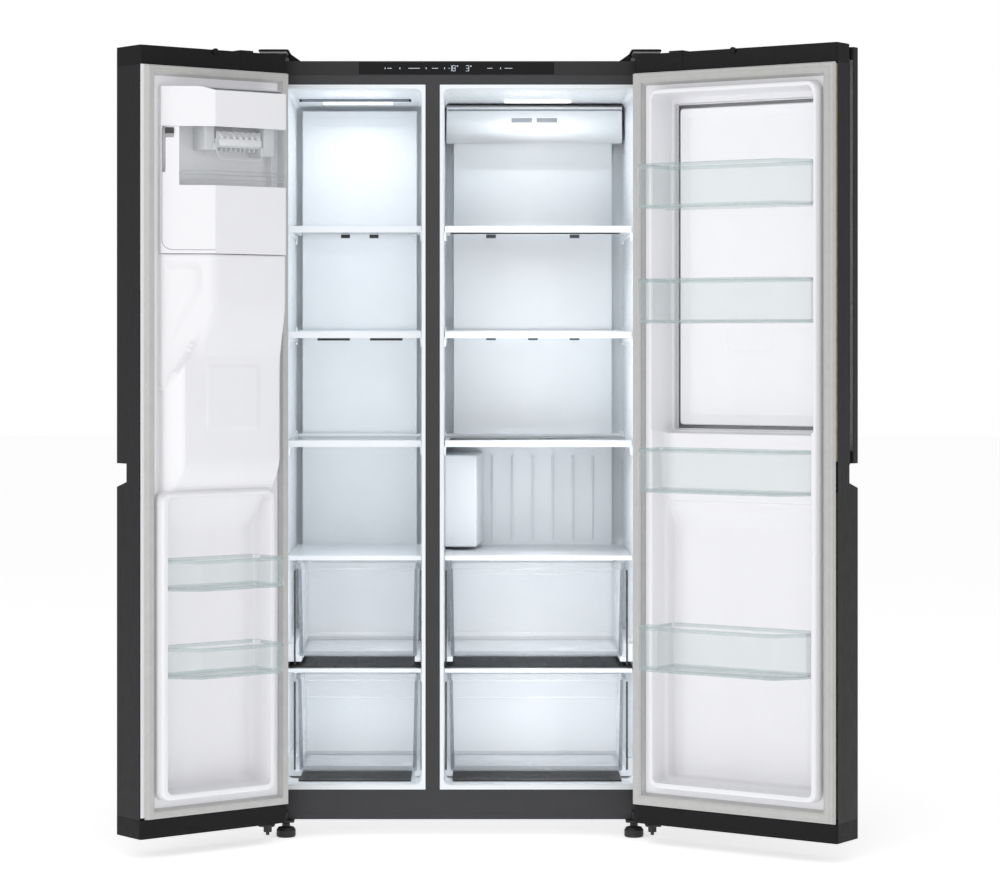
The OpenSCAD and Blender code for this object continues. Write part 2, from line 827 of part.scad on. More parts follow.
module freezer_door_foam() {
    color("khaki") on_freezer_door() difference() {
        union() {
            slab_z(grow(freezer_door_x, -skin_t), [door_out + skin_t, door_in - face_t], skin_z,
                door_r - skin_t);
            intersection() {
                freezer_bulge(liner_t);
                block(freezer_door_x, [door_in - face_t - 1, 100], [790 + liner_t, 2000]);
            }
        }
        grip_room(grow(freezer_door_x, 1), grip_t);
        foam_joints(freezer_door_x);
        slab_y(grow(freezer_tub_x, liner_t), [tub_y - liner_t, 0], grow(freezer_tub_z, liner_t), 18.5);
        dispenser_room(3);
    }
}

module freezer_door_gasket() {
    color("#bfbfbd") on_freezer_door() gasket(freezer_gasket_x, freezer_gasket_w, -hinge_x);
}

module freezer_door_bins() {
    color("aliceblue", 0.4) on_freezer_door()
        for (z = [[394, 462], [585, 653]])
            door_bin(grow(freezer_tub_x, -2), freezer_tub_x[0] - 2.5, tub_y + 4, dyke_y, z);
}

/* ---- Ice compartment on the freezer door ---- */

module ice_form(by, z, back) {
    plan([[bulge_x[0] + by, back], [bulge_x[0] + by, bulge_y - by],
        [bulge_fold_x - 0.3 * by, bulge_y - by], [bulge_x[1] - by, -5 - 0.5 * by],
        [bulge_x[1] - by, back]], z);
}

module ice_maker_hood() {
    color("#f4f4f8") on_freezer_door() difference() {
        ice_form(0, hood_z, door_in);
        ice_form(3, [hood_z[0] - 1, hood_z[1] - 3], door_in - 1);
        side_profile([[bulge_y - 20, hood_z[1] + 1], [bulge_y + 1, hood_z[1] + 1],
            [bulge_y + 1, hood_z[1] - 9]], grow(bulge_x, 1));
        block([-370, -190], [20, 40], [hood_z[1] - 1.5, hood_z[1] + 1]);
    }
}

// Ejector tray with a row of fingers, a motor box at one end and a fill cup at the other
module ice_maker() {
    color("whitesmoke") on_freezer_door() {
        difference() {
            union() {
                block([-350, -225], [door_in, 38], [1556, 1592]);
                block([-378, -350], [door_in, 44], [1540, 1640]);
                block([-225, -200], [door_in, 36], [1550, 1620]);
            }
            rod_x([-346, -228], [12, 1592], 22);
        }
        rod_x([-351, -224], [12, 1592], 5);
        for (finger = [0 : 6])
            block([-340 + 17 * finger, -336 + 17 * finger], [11, 36], [1590, 1594]);
        rod_x([-345, -232], [42, 1530], 1.5);
        rod([-345, 42], [1530, 1545], 1.5);
        rod([-232, 42], [1530, 1545], 1.5);
        block([-352, -342], [36, 46], [1540, 1560]);
        block([-234, -226], [34, 46], [1543, 1560]);
    }
}

module window_room() {
    block([bulge_x[0] - 1, window_x], [8, bulge_y + 1], [window_z, ice_z[1] + 1]);
}

module ice_shell() {
    difference() {
        ice_form(0, ice_z, door_in + 2);
        ice_form(3, [ice_z[0] + 3, ice_z[1] + 1], door_in + 5);
    }
}

module latch_frame() {
    translate([latch_at[0], latch_at[1], 0]) rotate(latch_angle) children();
}

module ice_bin() {
    color("#f4f4f8") on_freezer_door() difference() {
        ice_shell();
        window_room();
        block(grow(bulge_x, -3), [door_in + 1, 0], [1500, ice_z[1] + 1]);
        latch_frame() block([-12, 8], [-6, 6], latch_z);
    }
}

module ice_bin_window() {
    color("lightgray", 0.5) on_freezer_door() intersection() {
        ice_shell();
        window_room();
    }
}

module ice_bin_latch() {
    color("#222222") on_freezer_door() latch_frame() {
        block([-11.5, 7.5], [-3, 4], [latch_z[0] + 8, latch_z[1] - 0.5]);
    }
}

/* ---- Dispenser in the freezer door ---- */

module dispenser_room(by) {
    block(grow(dispenser_x, by), [door_out - 2, dispenser_back + by], grow(dispenser_z, by));
}

module dispenser_housing() {
    color("#111113") on_freezer_door() {
        difference() {
            union() {
                block(grow(dispenser_x, -0.1), [door_out - 2, door_out + 3], grow(dispenser_z, -0.1));
                block(grow(dispenser_x, 3), [door_out + 3, dispenser_back + 3], grow(dispenser_z, 3));
            }
            block(grow(dispenser_x, -6), [door_out - 3, dispenser_back], [dispenser_z[0] + 4, 1185]);
            block(grow(dispenser_x, -6), [door_out + 3, dispenser_back], [1188, dispenser_z[1]]);
        }
        difference() {
            rod([middle(dispenser_x), -86], [1150, 1190], 21);
            rod([middle(dispenser_x), -86], [1149, 1191], 17);
        }
        for (x = [middle(dispenser_x) - 30, middle(dispenser_x) + 24])
            difference() {
                block([x, x + 6], [lever_pivot[0] - 8, dispenser_back], [lever_pivot[1] - 8, 1186]);
                rod_x([x - 1, x + 7], lever_pivot, lever_r);
            }
    }
}

module dispenser_lever() {
    color("#2a2a2c") on_freezer_door() {
        x = middle(dispenser_x);
        side_profile([[lever_pivot[0] - 3, 1060], [lever_pivot[0] + 1, 1060],
            [lever_pivot[0] + 3, 1166], [lever_pivot[0] - 3, 1166]], [x - 22, x + 22]);
        rod_x([x - 23.5, x + 23.5], lever_pivot, 7);
        rod_x([x - 30, x + 30], lever_pivot, lever_r - pin_clear);
    }
}

module drip_tray() {
    color("#3a3a3c") on_freezer_door() difference() {
        block(grow(dispenser_x, -8), [door_out, dispenser_back - 2], grow([tray_z, tray_z], 6));
        block(grow(dispenser_x, -11), [door_out + 3, dispenser_back - 5], [tray_z - 4, tray_z + 3]);
        for (slot = [0 : 9])
            block([dispenser_x[0] + 17 + 16.5 * slot, dispenser_x[0] + 25 + 16.5 * slot],
                [door_out + 10, dispenser_back - 12], [tray_z + 2, tray_z + 7]);
    }
}

/* ---- Fridge door ---- */

module fridge_door_panel() {
    color("#2b2b2d") on_fridge_door() {
        difference() {
            skin(fridge_door_x, [door_out, door_in - face_t], skin_z);
            grip_room(grow(fridge_door_x, 1), 0);
            block(grow(fridge_door_x, 1), [door_out - 1, frame_out], [grip_z[1] - 1, 2000]);
        }
        difference() {
            block(grow(fridge_door_x, -skin_t), [frame_out, frame_out + skin_t],
                [grip_z[1] + grip_t, skin_z[1]]);
            slab_y(grow(way_x, liner_t), [frame_out - 1, frame_out + 5], grow(way_z, liner_t), 10);
        }
    }
}

module outer_hinge_plates() {
    for (z = [[outer_z[1] + 0.5, door_z[1]], [grip_z[1] - 5, outer_z[0] - 0.5]])
        block([side - 26, side - 3 - skin_t], [outer_pin[1] - 7, frame_out + 8], z);
    rod(outer_pin, [outer_z[1] - 20, outer_z[1] + 2], outer_pin_r);
    rod(outer_pin, [outer_z[0] - 2, outer_z[0] + 20], outer_pin_r);
}

module fridge_door_trims() {
    color("#1d1d1e") on_fridge_door() {
        end_cap(fridge_door_x, [door_out, door_in], [hinge_x, hinge_y], false);
        end_cap(fridge_door_x, [frame_out, door_in], [hinge_x, hinge_y], true);
        difference() {
            cap_marks(fridge_door_x, [hinge_x - 109, hinge_x - 74]);
            block(grow(fridge_door_x, -4), grow([frame_out, door_in], -4), [0, door_z[1] - 4]);
        }
        difference() {
            grip_trim(fridge_door_x);
            block(grow(fridge_door_x, 1), [door_out - 1, frame_out - 0.1], [grip_z[1] - 0.5, 2000]);
        }
        difference() {
            outer_hinge_plates();
            rod([hinge_x, hinge_y], [door_z[1] - 34, door_z[1] + 1], pin_r + pin_clear);
            slab_z(grow(fridge_door_x, -4), grow([frame_out, door_in], -4),
                [grip_z[1] + 20, door_z[1] - 4], 3);
        }
    }
}

module fridge_rooms(by) {
    slab_y(grow(way_x, by), [frame_out - 1, 20], grow(way_z, by), 8 + by);
    slab_y(grow(fridge_tub_x, by), [shelf_face_y - by, 20], grow(fridge_tub_z, by), 14 + by);
    slab_y(grow(fridge_tub_x, by), [upper_face_y - by, 20], grow(upper_face_z, by), 14 + by);
    intersection() {
        slab_y(grow(low_tub_x, by), [low_tub_y - by, 20], grow(low_tub_z, by), 14 + by);
        side_profile([[low_tub_y - by, 100], [20, 100], [20, 800], [-25, 780 + by],
            [low_tub_y - by, 715 + by]], grow(fridge_tub_x, 5));
    }
}

module fridge_door_liner() {
    color("#f4f4f8") on_fridge_door() difference() {
        union() {
            block(grow(fridge_door_x, -0.4), [door_in - face_t, door_in], skin_z);
            slab_y(grow(fridge_tub_x, 11), [door_in, fridge_dyke_y], grow(fridge_tub_z, 12), 22);
            intersection() {
                fridge_rooms(liner_t);
                block(fridge_door_x, [frame_out, door_in - 1], [0, 2000]);
            }
        }
        fridge_rooms(0);
    }
}

module fridge_door_foam() {
    color("khaki") on_fridge_door() difference() {
        slab_z(grow(fridge_door_x, -skin_t), [door_out + skin_t, door_in - face_t], skin_z, door_r - skin_t);
        fridge_rooms(liner_t);
        grip_room(grow(fridge_door_x, 1), grip_t);
        foam_joints(fridge_door_x);
        block(grow(fridge_door_x, 1), [door_out, frame_out + skin_t], [grip_z[1] - 2, 2000]);
        block([side - 30, side], [outer_pin[1] - 10, frame_out + 10], [grip_z[0], outer_z[0] + 2]);
    }
}

module fridge_door_gasket() {
    color("#bfbfbd") on_fridge_door() gasket(fridge_gasket_x, fridge_gasket_w, hinge_x);
}

module fridge_door_bins() {
    color("aliceblue", 0.4) on_fridge_door() {
        ends = [fridge_tub_x[1] - 2, fridge_tub_x[0] + 2];
        low_ends = [low_tub_x[1] - 2, low_tub_x[0] + 2];
        over_rim = fridge_tub_x[1] + 7.5;
        for (z = [[1170, 1269], [1425, 1524]])
            door_bin(ends, over_rim, upper_face_y + 4, fridge_dyke_y, z);
        door_bin(ends, over_rim, shelf_face_y + 4, fridge_dyke_y, [795, 893]);
        door_bin(low_ends, over_rim, low_tub_y + 4, fridge_dyke_y, [398, 498]);
    }
}

/* ---- Outer door on the fridge door ---- */

module outer_hinge_bores() {
    rod(outer_pin, [outer_z[0] - 1, outer_z[0] + 24], outer_pin_r + pin_clear);
    rod(outer_pin, [outer_z[1] - 24, outer_z[1] + 1], outer_pin_r + pin_clear);
}

module outer_door_panel() {
    color("#2b2b2d") on_fridge_door() difference() {
        union() {
            skin(fridge_door_x, [door_out, outer_in - 4], outer_z);
            for (z = [[outer_z[0], outer_z[0] + 26], [outer_z[1] - 26, outer_z[1]]])
                slab_z(fridge_door_x, [door_out, outer_in - 4], z, door_r);
        }
        outer_hinge_bores();
        button_room();
    }
}

module outer_door_liner() {
    color("#eeeeee") on_fridge_door() {
        block(grow(fridge_door_x, -1.5), [outer_in - 4, outer_in], outer_z);
        slab_z(grow(fridge_door_x, -skin_t), [door_out + skin_t, outer_in - 4], grow(outer_z, -26),
            door_r - skin_t);
        difference() {
            slab_y(grow(way_x, -12), [outer_in, -70], grow(way_z, -12), 8);
            slab_y(grow(way_x, -34), [-76, -60], grow(way_z, -34), 8);
        }
    }
}

module outer_door_gasket() {
    color("#2a2a2c") on_fridge_door()
        slab_y_ring(grow(way_x, 16), [outer_in, frame_out - 0.3], grow(way_z, 16), 16);
}

module button_room() {
    block([10, 52], [door_out + 4, outer_in - 10], [outer_z[0] - 1, outer_z[0] + 14]);
}

// Push button under the outer door's lower edge, which lets it off its catch
module release_button() {
    color("#3a3a3c") on_fridge_door() {
        block([10.5, 51.5], [door_out + 4.5, outer_in - 10.5], [outer_z[0] - 8, outer_z[0] + 8]);
    }
}

cabinet_shell();
back_panel();
bottom_plate();
front_frame();
top_trim();
display_panel();
base_panel();
insulation_foam();
freezer_liner();
fridge_liner();
freezer_duct_panel();
fridge_duct_panel();
lamp_lenses();
water_tank();
shelf_glass();
shelf_trims();
freezer_drawer_shelves();
fridge_drawer_shelves();
drawer_rails();
top_hinge_brackets();
hinge_covers();
bottom_hinge_brackets();
levelling_feet();
rear_rollers();
compressor();
condenser();
condenser_fan();
machine_cover();
evaporator();
evaporator_fan();
water_valve();
power_inlet_gland();
freezer_door_panel();
freezer_door_trims();
freezer_door_foam();
freezer_door_liner();
freezer_door_gasket();
freezer_door_bins();
ice_maker_hood();
ice_maker();
ice_bin();
ice_bin_window();
ice_bin_latch();
dispenser_housing();
dispenser_lever();
drip_tray();
fridge_door_panel();
fridge_door_trims();
fridge_door_foam();
fridge_door_liner();
fridge_door_gasket();
fridge_door_bins();
outer_door_panel();
outer_door_liner();
outer_door_gasket();
release_button();
freezer_drawer_upper();
freezer_drawer_lower();
crisper_upper();
crisper_lower();
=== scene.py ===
import json
import math

import bmesh
import bpy
import numpy as np
from mathutils import Matrix, Vector


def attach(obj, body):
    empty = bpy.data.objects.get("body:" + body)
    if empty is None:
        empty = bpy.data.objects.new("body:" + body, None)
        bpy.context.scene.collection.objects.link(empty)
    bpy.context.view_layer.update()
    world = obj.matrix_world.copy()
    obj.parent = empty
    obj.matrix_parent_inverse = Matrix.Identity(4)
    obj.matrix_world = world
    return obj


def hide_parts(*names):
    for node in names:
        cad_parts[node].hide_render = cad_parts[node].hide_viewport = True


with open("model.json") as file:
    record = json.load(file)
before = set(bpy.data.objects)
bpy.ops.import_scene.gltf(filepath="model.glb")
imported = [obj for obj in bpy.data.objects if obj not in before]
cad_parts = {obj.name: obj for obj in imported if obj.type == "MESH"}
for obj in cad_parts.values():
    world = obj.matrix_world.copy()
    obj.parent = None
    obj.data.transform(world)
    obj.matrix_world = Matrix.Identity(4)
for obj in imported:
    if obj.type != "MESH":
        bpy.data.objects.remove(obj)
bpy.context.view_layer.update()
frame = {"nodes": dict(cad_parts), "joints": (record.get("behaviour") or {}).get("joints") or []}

# Side by side refrigerator with both doors open. Shapes are drawn in millimetres. A door's pieces
# are drawn with the door shut, and placed with the door's own matrix.
MM = 0.001
nodes = frame["nodes"]
joints = {j["name"]: j for j in frame["joints"]}


def door_matrix(joint):
    """From the place with the door shut to its place at rest."""
    j = joints[joint]
    pin = Vector(j["pos_m"])
    low = j["range"][0] if "range" in j else math.radians(j["range_deg"][0])
    turn = Matrix.Rotation(-low, 4, Vector(j["axis"]))
    return Matrix.Translation(pin) @ turn @ Matrix.Translation(-pin)


HERE = Matrix.Identity(4)
FREEZER = door_matrix("freezer_door_hinge")
FRIDGE = door_matrix("fridge_door_hinge")


def box_mm(node, place=HERE):
    """A node's box in millimetres, as X, Y and Z ranges, measured in its drawing frame."""
    back = place.inverted()
    co = np.array([back @ v.co for v in nodes[node].data.vertices]) / MM
    lo, hi = co.min(0), co.max(0)
    return [(float(lo[i]), float(hi[i])) for i in range(3)]


# ---------------------------------------------------------------- finishes

FINISH = {}


def new_material(name):
    """An empty material, kept in FINISH under its name, and its node tree."""
    material = bpy.data.materials.new(name)
    material.use_nodes = True
    tree = material.node_tree
    tree.nodes.clear()
    FINISH[name] = material
    return material, tree


def noise(tree, size, detail=3.0, stretch=(1, 1, 1)):
    """Noise whose patches are about size metres across. Returns its value socket."""
    where = tree.nodes.new("ShaderNodeTexCoord")
    scaled = tree.nodes.new("ShaderNodeMapping")
    scaled.inputs["Scale"].default_value = stretch
    texture = tree.nodes.new("ShaderNodeTexNoise")
    texture.inputs["Scale"].default_value = 1 / size
    texture.inputs["Detail"].default_value = detail
    tree.links.new(where.outputs["Object"], scaled.inputs["Vector"])
    tree.links.new(scaled.outputs["Vector"], texture.inputs["Vector"])
    return texture.outputs["Fac"]


def spread(tree, value, low, high):
    """Maps a noise value to the range from low to high."""
    mapped = tree.nodes.new("ShaderNodeMapRange")
    mapped.inputs["From Min"].default_value = 0.3
    mapped.inputs["From Max"].default_value = 0.7
    mapped.inputs["To Min"].default_value = low
    mapped.inputs["To Max"].default_value = high
    tree.links.new(value, mapped.inputs["Value"])
    return mapped.outputs["Result"]


def varied(tree, colour, value, by):
    """A colour that drifts by a share of itself, both ways, with a noise value."""
    mix = tree.nodes.new("ShaderNodeMix")
    mix.data_type = "RGBA"
    mix.inputs[6].default_value = [c * (1 - by) for c in colour] + [1]
    mix.inputs[7].default_value = [min(1, c * (1 + by)) for c in colour] + [1]
    tree.links.new(spread(tree, value, 0, 1), mix.inputs[0])
    return mix.outputs[2]


def finish(name, colour, rough, metal=0.0, coat=0.0, specular=0.5, mottle=0.03, patch=0.06,
           grain=0.0008, depth=0.00002, rough_by=0.05, stretch=(1, 1, 1), glow=0.0):
    """A moulded, painted or metal finish: colour drift, uneven gloss and a fine surface grain."""
    material, tree = new_material(name)
    shader = tree.nodes.new("ShaderNodeBsdfPrincipled")
    out = tree.nodes.new("ShaderNodeOutputMaterial")
    tree.links.new(shader.outputs[0], out.inputs[0])
    shader.inputs["Metallic"].default_value = metal
    shader.inputs["Coat Weight"].default_value = coat
    shader.inputs["Coat Roughness"].default_value = 0.12
    shader.inputs["Specular IOR Level"].default_value = specular
    wide = noise(tree, patch, 2.0)
    fine = noise(tree, grain, 2.0, stretch)
    base = varied(tree, colour, wide, mottle)
    tree.links.new(base, shader.inputs["Base Color"])
    tree.links.new(spread(tree, noise(tree, patch / 4, 3.0, stretch), rough - rough_by,
                          rough + rough_by), shader.inputs["Roughness"])
    bump = tree.nodes.new("ShaderNodeBump")
    bump.inputs["Distance"].default_value = depth
    tree.links.new(fine, bump.inputs["Height"])
    tree.links.new(bump.outputs[0], shader.inputs["Normal"])
    if glow:
        tree.links.new(base, shader.inputs["Emission Color"])
        shader.inputs["Emission Strength"].default_value = glow
    return material


def clear_finish(name, tint, colour, haze, edge, rough=0.08):
    """Clear moulded plastic or glass: seen through face on, with its colour along its edges."""
    material, tree = new_material(name)
    solid = tree.nodes.new("ShaderNodeBsdfPrincipled")
    through = tree.nodes.new("ShaderNodeBsdfTransparent")
    mix = tree.nodes.new("ShaderNodeMixShader")
    out = tree.nodes.new("ShaderNodeOutputMaterial")
    through.inputs["Color"].default_value = (*tint, 1)
    tree.links.new(varied(tree, colour, noise(tree, 0.03), 0.03), solid.inputs["Base Color"])
    tree.links.new(spread(tree, noise(tree, 0.02), rough * 0.7, rough * 1.3),
                   solid.inputs["Roughness"])
    weight = tree.nodes.new("ShaderNodeLayerWeight")
    weight.inputs["Blend"].default_value = 0.35
    power = tree.nodes.new("ShaderNodeMapRange")
    power.interpolation_type = "SMOOTHSTEP"
    power.inputs["To Min"].default_value = haze
    power.inputs["To Max"].default_value = edge
    bump = tree.nodes.new("ShaderNodeBump")
    bump.inputs["Distance"].default_value = 0.00004
    tree.links.new(noise(tree, 0.012, 1.0), bump.inputs["Height"])
    tree.links.new(bump.outputs[0], solid.inputs["Normal"])
    tree.links.new(weight.outputs["Facing"], power.inputs["Value"])
    tree.links.new(power.outputs["Result"], mix.inputs[0])
    tree.links.new(through.outputs[0], mix.inputs[1])
    tree.links.new(solid.outputs[0], mix.inputs[2])
    tree.links.new(mix.outputs[0], out.inputs[0])
    return material


finish("case_paint", (.012, .012, .013), .42, specular=.3, grain=.0011, depth=.00003,
       mottle=.05)
finish("rear_steel", (.50, .51, .52), .38, metal=.9, grain=.004, mottle=.12, patch=.02,
       rough_by=.1)
finish("plate_steel", (.40, .40, .41), .42, metal=.85, grain=.003, mottle=.1)
finish("frame_paint", (.036, .036, .039), .42, specular=.35, grain=.001, mottle=.04)
finish("trim_plastic", (.018, .018, .019), .46, specular=.35, grain=.0006, depth=.00003)
finish("display_face", (.003, .003, .004), .2, specular=.12, mottle=.02, rough_by=.02,
       grain=.01, depth=.000003)
finish("foam", (.78, .68, .38), .85, mottle=.12, patch=.02, grain=.003, depth=.0006)
finish("door_foam", (.78, .68, .38), .85, mottle=.12, patch=.02, grain=.003, depth=.0006)
finish("cabinet_liner", (.84, .875, .905), .32, grain=.006, depth=.00001, mottle=.008)
finish("duct_plastic", (.85, .88, .91), .36, grain=.004, depth=.00001, mottle=.01)
finish("lamp_plastic", (.95, .97, 1.0), .25, glow=1.6, mottle=.01)
finish("tank_plastic", (.82, .845, .88), .34, grain=.006, depth=.000001, mottle=.006,
       rough_by=.01)
clear_finish("shelf_glass", (.975, .99, .985), (.45, .56, .57), .03, .34, .05)
finish("shelf_trim", (.80, .83, .86), .34, grain=.006, depth=.000001, mottle=.006, rough_by=.01)
finish("rail_plastic", (.78, .81, .84), .4, grain=.0009, mottle=.02)
clear_finish("drawer_clear", (.985, .99, .995), (.88, .90, .93), .14, .6, .12)
finish("hinge_steel", (.20, .20, .21), .36, metal=1, grain=.0006, depth=.00004,
       stretch=(.1, 1, 1), rough_by=.1)
finish("black_plastic", (.007, .007, .008), .5, specular=.16, grain=.0007, depth=.00005)
finish("hinge_paint", (.013, .013, .014), .42, grain=.0009, depth=.00004)
finish("foot_plastic", (.010, .010, .011), .5, grain=.0007, depth=.00005)
finish("roller_plastic", (.05, .05, .055), .5, grain=.0008, depth=.00005)
finish("compressor_paint", (.015, .015, .016), .3, coat=.3, grain=.0015, depth=.00006)
finish("condenser_paint", (.025, .025, .027), .4, grain=.001, depth=.00004)
finish("fan_plastic", (.08, .08, .085), .4)
finish("evaporator_metal", (.8, .81, .82), .35, metal=1, grain=.0008)
finish("valve_plastic", (.8, .8, .78), .45)
finish("gland_rubber", (.02, .02, .02), .7, specular=.3, grain=.0006, depth=.00006)
finish("door_paint", (.012, .012, .0135), .46, specular=.22, grain=.0012, depth=.00004,
       mottle=.06, patch=.03, stretch=(1, 1, .25))
finish("door_liner", (.80, .80, .825), .33, grain=.005, depth=.000006, mottle=.006)
finish("outer_liner", (.83, .835, .86), .35, grain=.005, depth=.000006, mottle=.006)
finish("gasket_grey", (.49, .49, .48), .62, specular=.3, grain=.0008, depth=.00005, mottle=.03,
       patch=.02)
clear_finish("bin_clear", (.985, .993, .99), (.44, .50, .50), .03, .6)
finish("ice_white", (.80, .80, .825), .34, grain=.006, depth=.000001, mottle=.004, rough_by=.01)
finish("ice_maker_plastic", (.62, .63, .65), .4, grain=.001, mottle=.03)
clear_finish("clear_edge", (.80, .84, .84), (.50, .56, .57), .30, .8, .15)
clear_finish("dark_edge", (.74, .76, .78), (.34, .36, .39), .22, .7, .15)
clear_finish("ice_window", (.94, .945, .95), (.62, .64, .65), .08, .6)
# Near black plastic of latches, the button, vent inserts and the bar's ends; also painted shadow in
# the gaps round the drawers
finish("latch_plastic", (.03, .03, .03), .4, grain=.0007, depth=.00004)
finish("dispenser_plastic", (.012, .012, .014), .2, coat=.4, mottle=.03)
finish("lever_plastic", (.04, .04, .045), .4, grain=.0007, depth=.00004)
finish("display_marks", (.62, .68, .75), .4, glow=.35, mottle=.02)
finish("bar_grey", (.20, .22, .26), .4, grain=.001, mottle=.02)
finish("vent_grey", (.10, .11, .125), .5, grain=.001, mottle=.03)
finish("box_grey", (.34, .36, .39), .5, grain=.001, mottle=.03)
finish("outer_gasket", (.012, .012, .013), .7, specular=.15, grain=.0008, depth=.00005)

# Clear slots, whose pieces throw no shadow
CLEAR = ("shelf_glass", "drawer_clear", "bin_clear", "ice_window")


def let_light_through(made):
    """Clear parts throw no shadow, so that what is behind them stays bright."""
    made.visible_shadow = False
    made.visible_diffuse = False


# ---------------------------------------------------------------- shapes

class Form:
    """Gathers closed and open shapes, in millimetres, for one piece."""

    def __init__(self):
        self.bm = bmesh.new()

    def add(self, points, faces):
        made = [self.bm.verts.new(p) for p in points]
        return [self.bm.faces.new([made[i] for i in f]) for f in faces]

    def soften(self, faces, by, steps=2, angle=25):
        """Rounds the sharp edges between these faces."""
        if not by:
            return
        edges = {e for f in faces for e in f.edges}
        sharp = [e for e in edges
                 if len(e.link_faces) == 2 and e.calc_face_angle(0) > math.radians(angle)]
        bmesh.ops.bevel(self.bm, geom=sharp, offset=by, segments=steps, affect="EDGES", profile=0.5)

    def prism(self, outline, low, high, axis="z", soft=0.0, steps=2):
        """An outline from above (z), from the front (y, as X and Z) or the side (x, as Y and Z)."""
        turn = {"z": lambda a, b, c: (a, b, c), "y": lambda a, b, c: (a, c, b),
                "x": lambda a, b, c: (c, a, b)}[axis]
        n = len(outline)
        points = [turn(a, b, low) for a, b in outline] + [turn(a, b, high) for a, b in outline]
        sides = [(i, (i + 1) % n, n + (i + 1) % n, n + i) for i in range(n)]
        faces = self.add(points, [tuple(reversed(range(n))), tuple(range(n, 2 * n))] + sides)
        bmesh.ops.recalc_face_normals(self.bm, faces=faces)
        self.soften(faces, soft, steps)

    def block(self, x, y, z, soft=1.0, steps=2):
        self.prism(rect(x, y), z[0], z[1], "z", soft, steps)

    def tube(self, path, radius, sides=10):
        """A round bar or wire along a path, with closed ends."""
        path = [Vector(p) for p in path]
        rings = []
        side = None
        for i, p in enumerate(path):
            ahead = (path[min(i + 1, len(path) - 1)] - path[max(i - 1, 0)]).normalized()
            if side is None:
                side = ahead.cross(Vector((0.31, 0.52, 0.79))).normalized()
            side = (side - ahead * side.dot(ahead)).normalized()
            up = ahead.cross(side)
            rings += [p + radius * (math.cos(t) * side + math.sin(t) * up)
                      for t in (2 * math.pi * k / sides for k in range(sides))]
        faces = [tuple(reversed(range(sides))), tuple(range(len(rings) - sides, len(rings)))]
        for i in range(len(path) - 1):
            for k in range(sides):
                a, b = i * sides + k, i * sides + (k + 1) % sides
                faces.append((a, b, b + sides, a + sides))
        self.add(rings, faces)

    def ring(self, x, z, profile, limit=None):
        """A closed profile of inset and Y, run round a rectangle with mitred corners."""
        corners = [(0, 0), (1, 0), (1, 1), (0, 1)]
        points = []
        for cx, cz in corners:
            for inset, y in profile:
                px = x[1] - inset if cx else x[0] + inset
                pz = z[1] - inset if cz else z[0] + inset
                points.append((px, min(y, limit(px)) if limit else y, pz))
        n = len(profile)
        ends = [(c, (c + 1) % 4) for c in range(4)]
        faces = [(c * n + k, c * n + (k + 1) % n, d * n + (k + 1) % n, d * n + k)
                 for c, d in ends for k in range(n)]
        bmesh.ops.recalc_face_normals(self.bm, faces=self.add(points, faces))

    def sheet(self, xs, zs, depth, hole=None):
        """A pressed sheet: Y is depth(x, z) over a grid, left out where hole(x, z) is true."""
        gx, gz = np.meshgrid(xs, zs)
        gy = depth(gx, gz)
        cut = hole(gx, gz) if hole else np.zeros(gx.shape, bool)
        verts = [self.bm.verts.new(p) for p in zip(gx.flat, gy.flat, gz.flat)]
        n = len(xs)
        for j in range(len(zs) - 1):
            for i in range(n - 1):
                if not cut[j:j + 2, i:i + 2].any():
                    a = j * n + i
                    self.bm.faces.new((verts[a], verts[a + 1], verts[a + n + 1], verts[a + n]))
        bmesh.ops.delete(self.bm, geom=[v for v in verts if not v.link_faces], context="VERTS")

    def loft(self, rings, marked=(), marked_sides=()):
        """A closed body through rings of points. Marked bands and sides take the second finish."""
        n = len(rings[0])
        points = [p for ring in rings for p in ring]
        ends = [tuple(reversed(range(n))), tuple(range(len(points) - n, len(points)))]
        bands = [(i * n + k, i * n + (k + 1) % n, (i + 1) * n + (k + 1) % n, (i + 1) * n + k)
                 for i in range(len(rings) - 1) for k in range(n)]
        made = self.add(points, ends + bands)
        for count, face in enumerate(made[2:]):
            if count // n in marked or count % n in marked_sides:
                face.material_index = 1
        bmesh.ops.recalc_face_normals(self.bm, faces=made)

    def piece(self, name, body, slot, place=HERE, stands_for=(), sharp=38, look=None,
              edge=None):
        mesh = bpy.data.meshes.new(name)
        self.bm.to_mesh(mesh)
        self.bm.free()
        mesh.transform(place @ Matrix.Scale(MM, 4))
        mesh.shade_smooth()
        mesh.set_sharp_from_angle(angle=math.radians(sharp))
        mesh.materials.append(FINISH[look or slot])
        if edge:
            mesh.materials.append(FINISH[edge])
        made = bpy.data.objects.new(name, mesh)
        bpy.context.scene.collection.objects.link(made)
        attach(made, body)
        if stands_for:
            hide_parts(*stands_for)
        if slot in CLEAR:
            let_light_through(made)
        return made


def rounded(points, radius, steps=4):
    """An outline with its corners rounded. radius is one number, or one for each corner."""
    result = []
    n = len(points)
    for i, p in enumerate(points):
        p = Vector(p)
        r = radius[i] if isinstance(radius, (list, tuple)) else radius
        a = (Vector(points[i - 1]) - p).normalized()
        b = (Vector(points[(i + 1) % n]) - p).normalized()
        half = math.acos(max(-1, min(1, a.dot(b)))) / 2
        if r <= 0 or half > 1.5:
            result.append(tuple(p))
            continue
        reach = r / math.tan(half)
        centre = p + (a + b).normalized() * (r / math.sin(half))
        start, end = p + a * reach - centre, p + b * reach - centre
        for k in range(steps + 1):
            t = k / steps
            result.append(tuple(centre + (start * (1 - t) + end * t).normalized() * r))
    return result


def rect(x, z):
    return [(x[0], z[0]), (x[1], z[0]), (x[1], z[1]), (x[0], z[1])]


def grown(r, by):
    return (r[0] - by, r[1] + by)


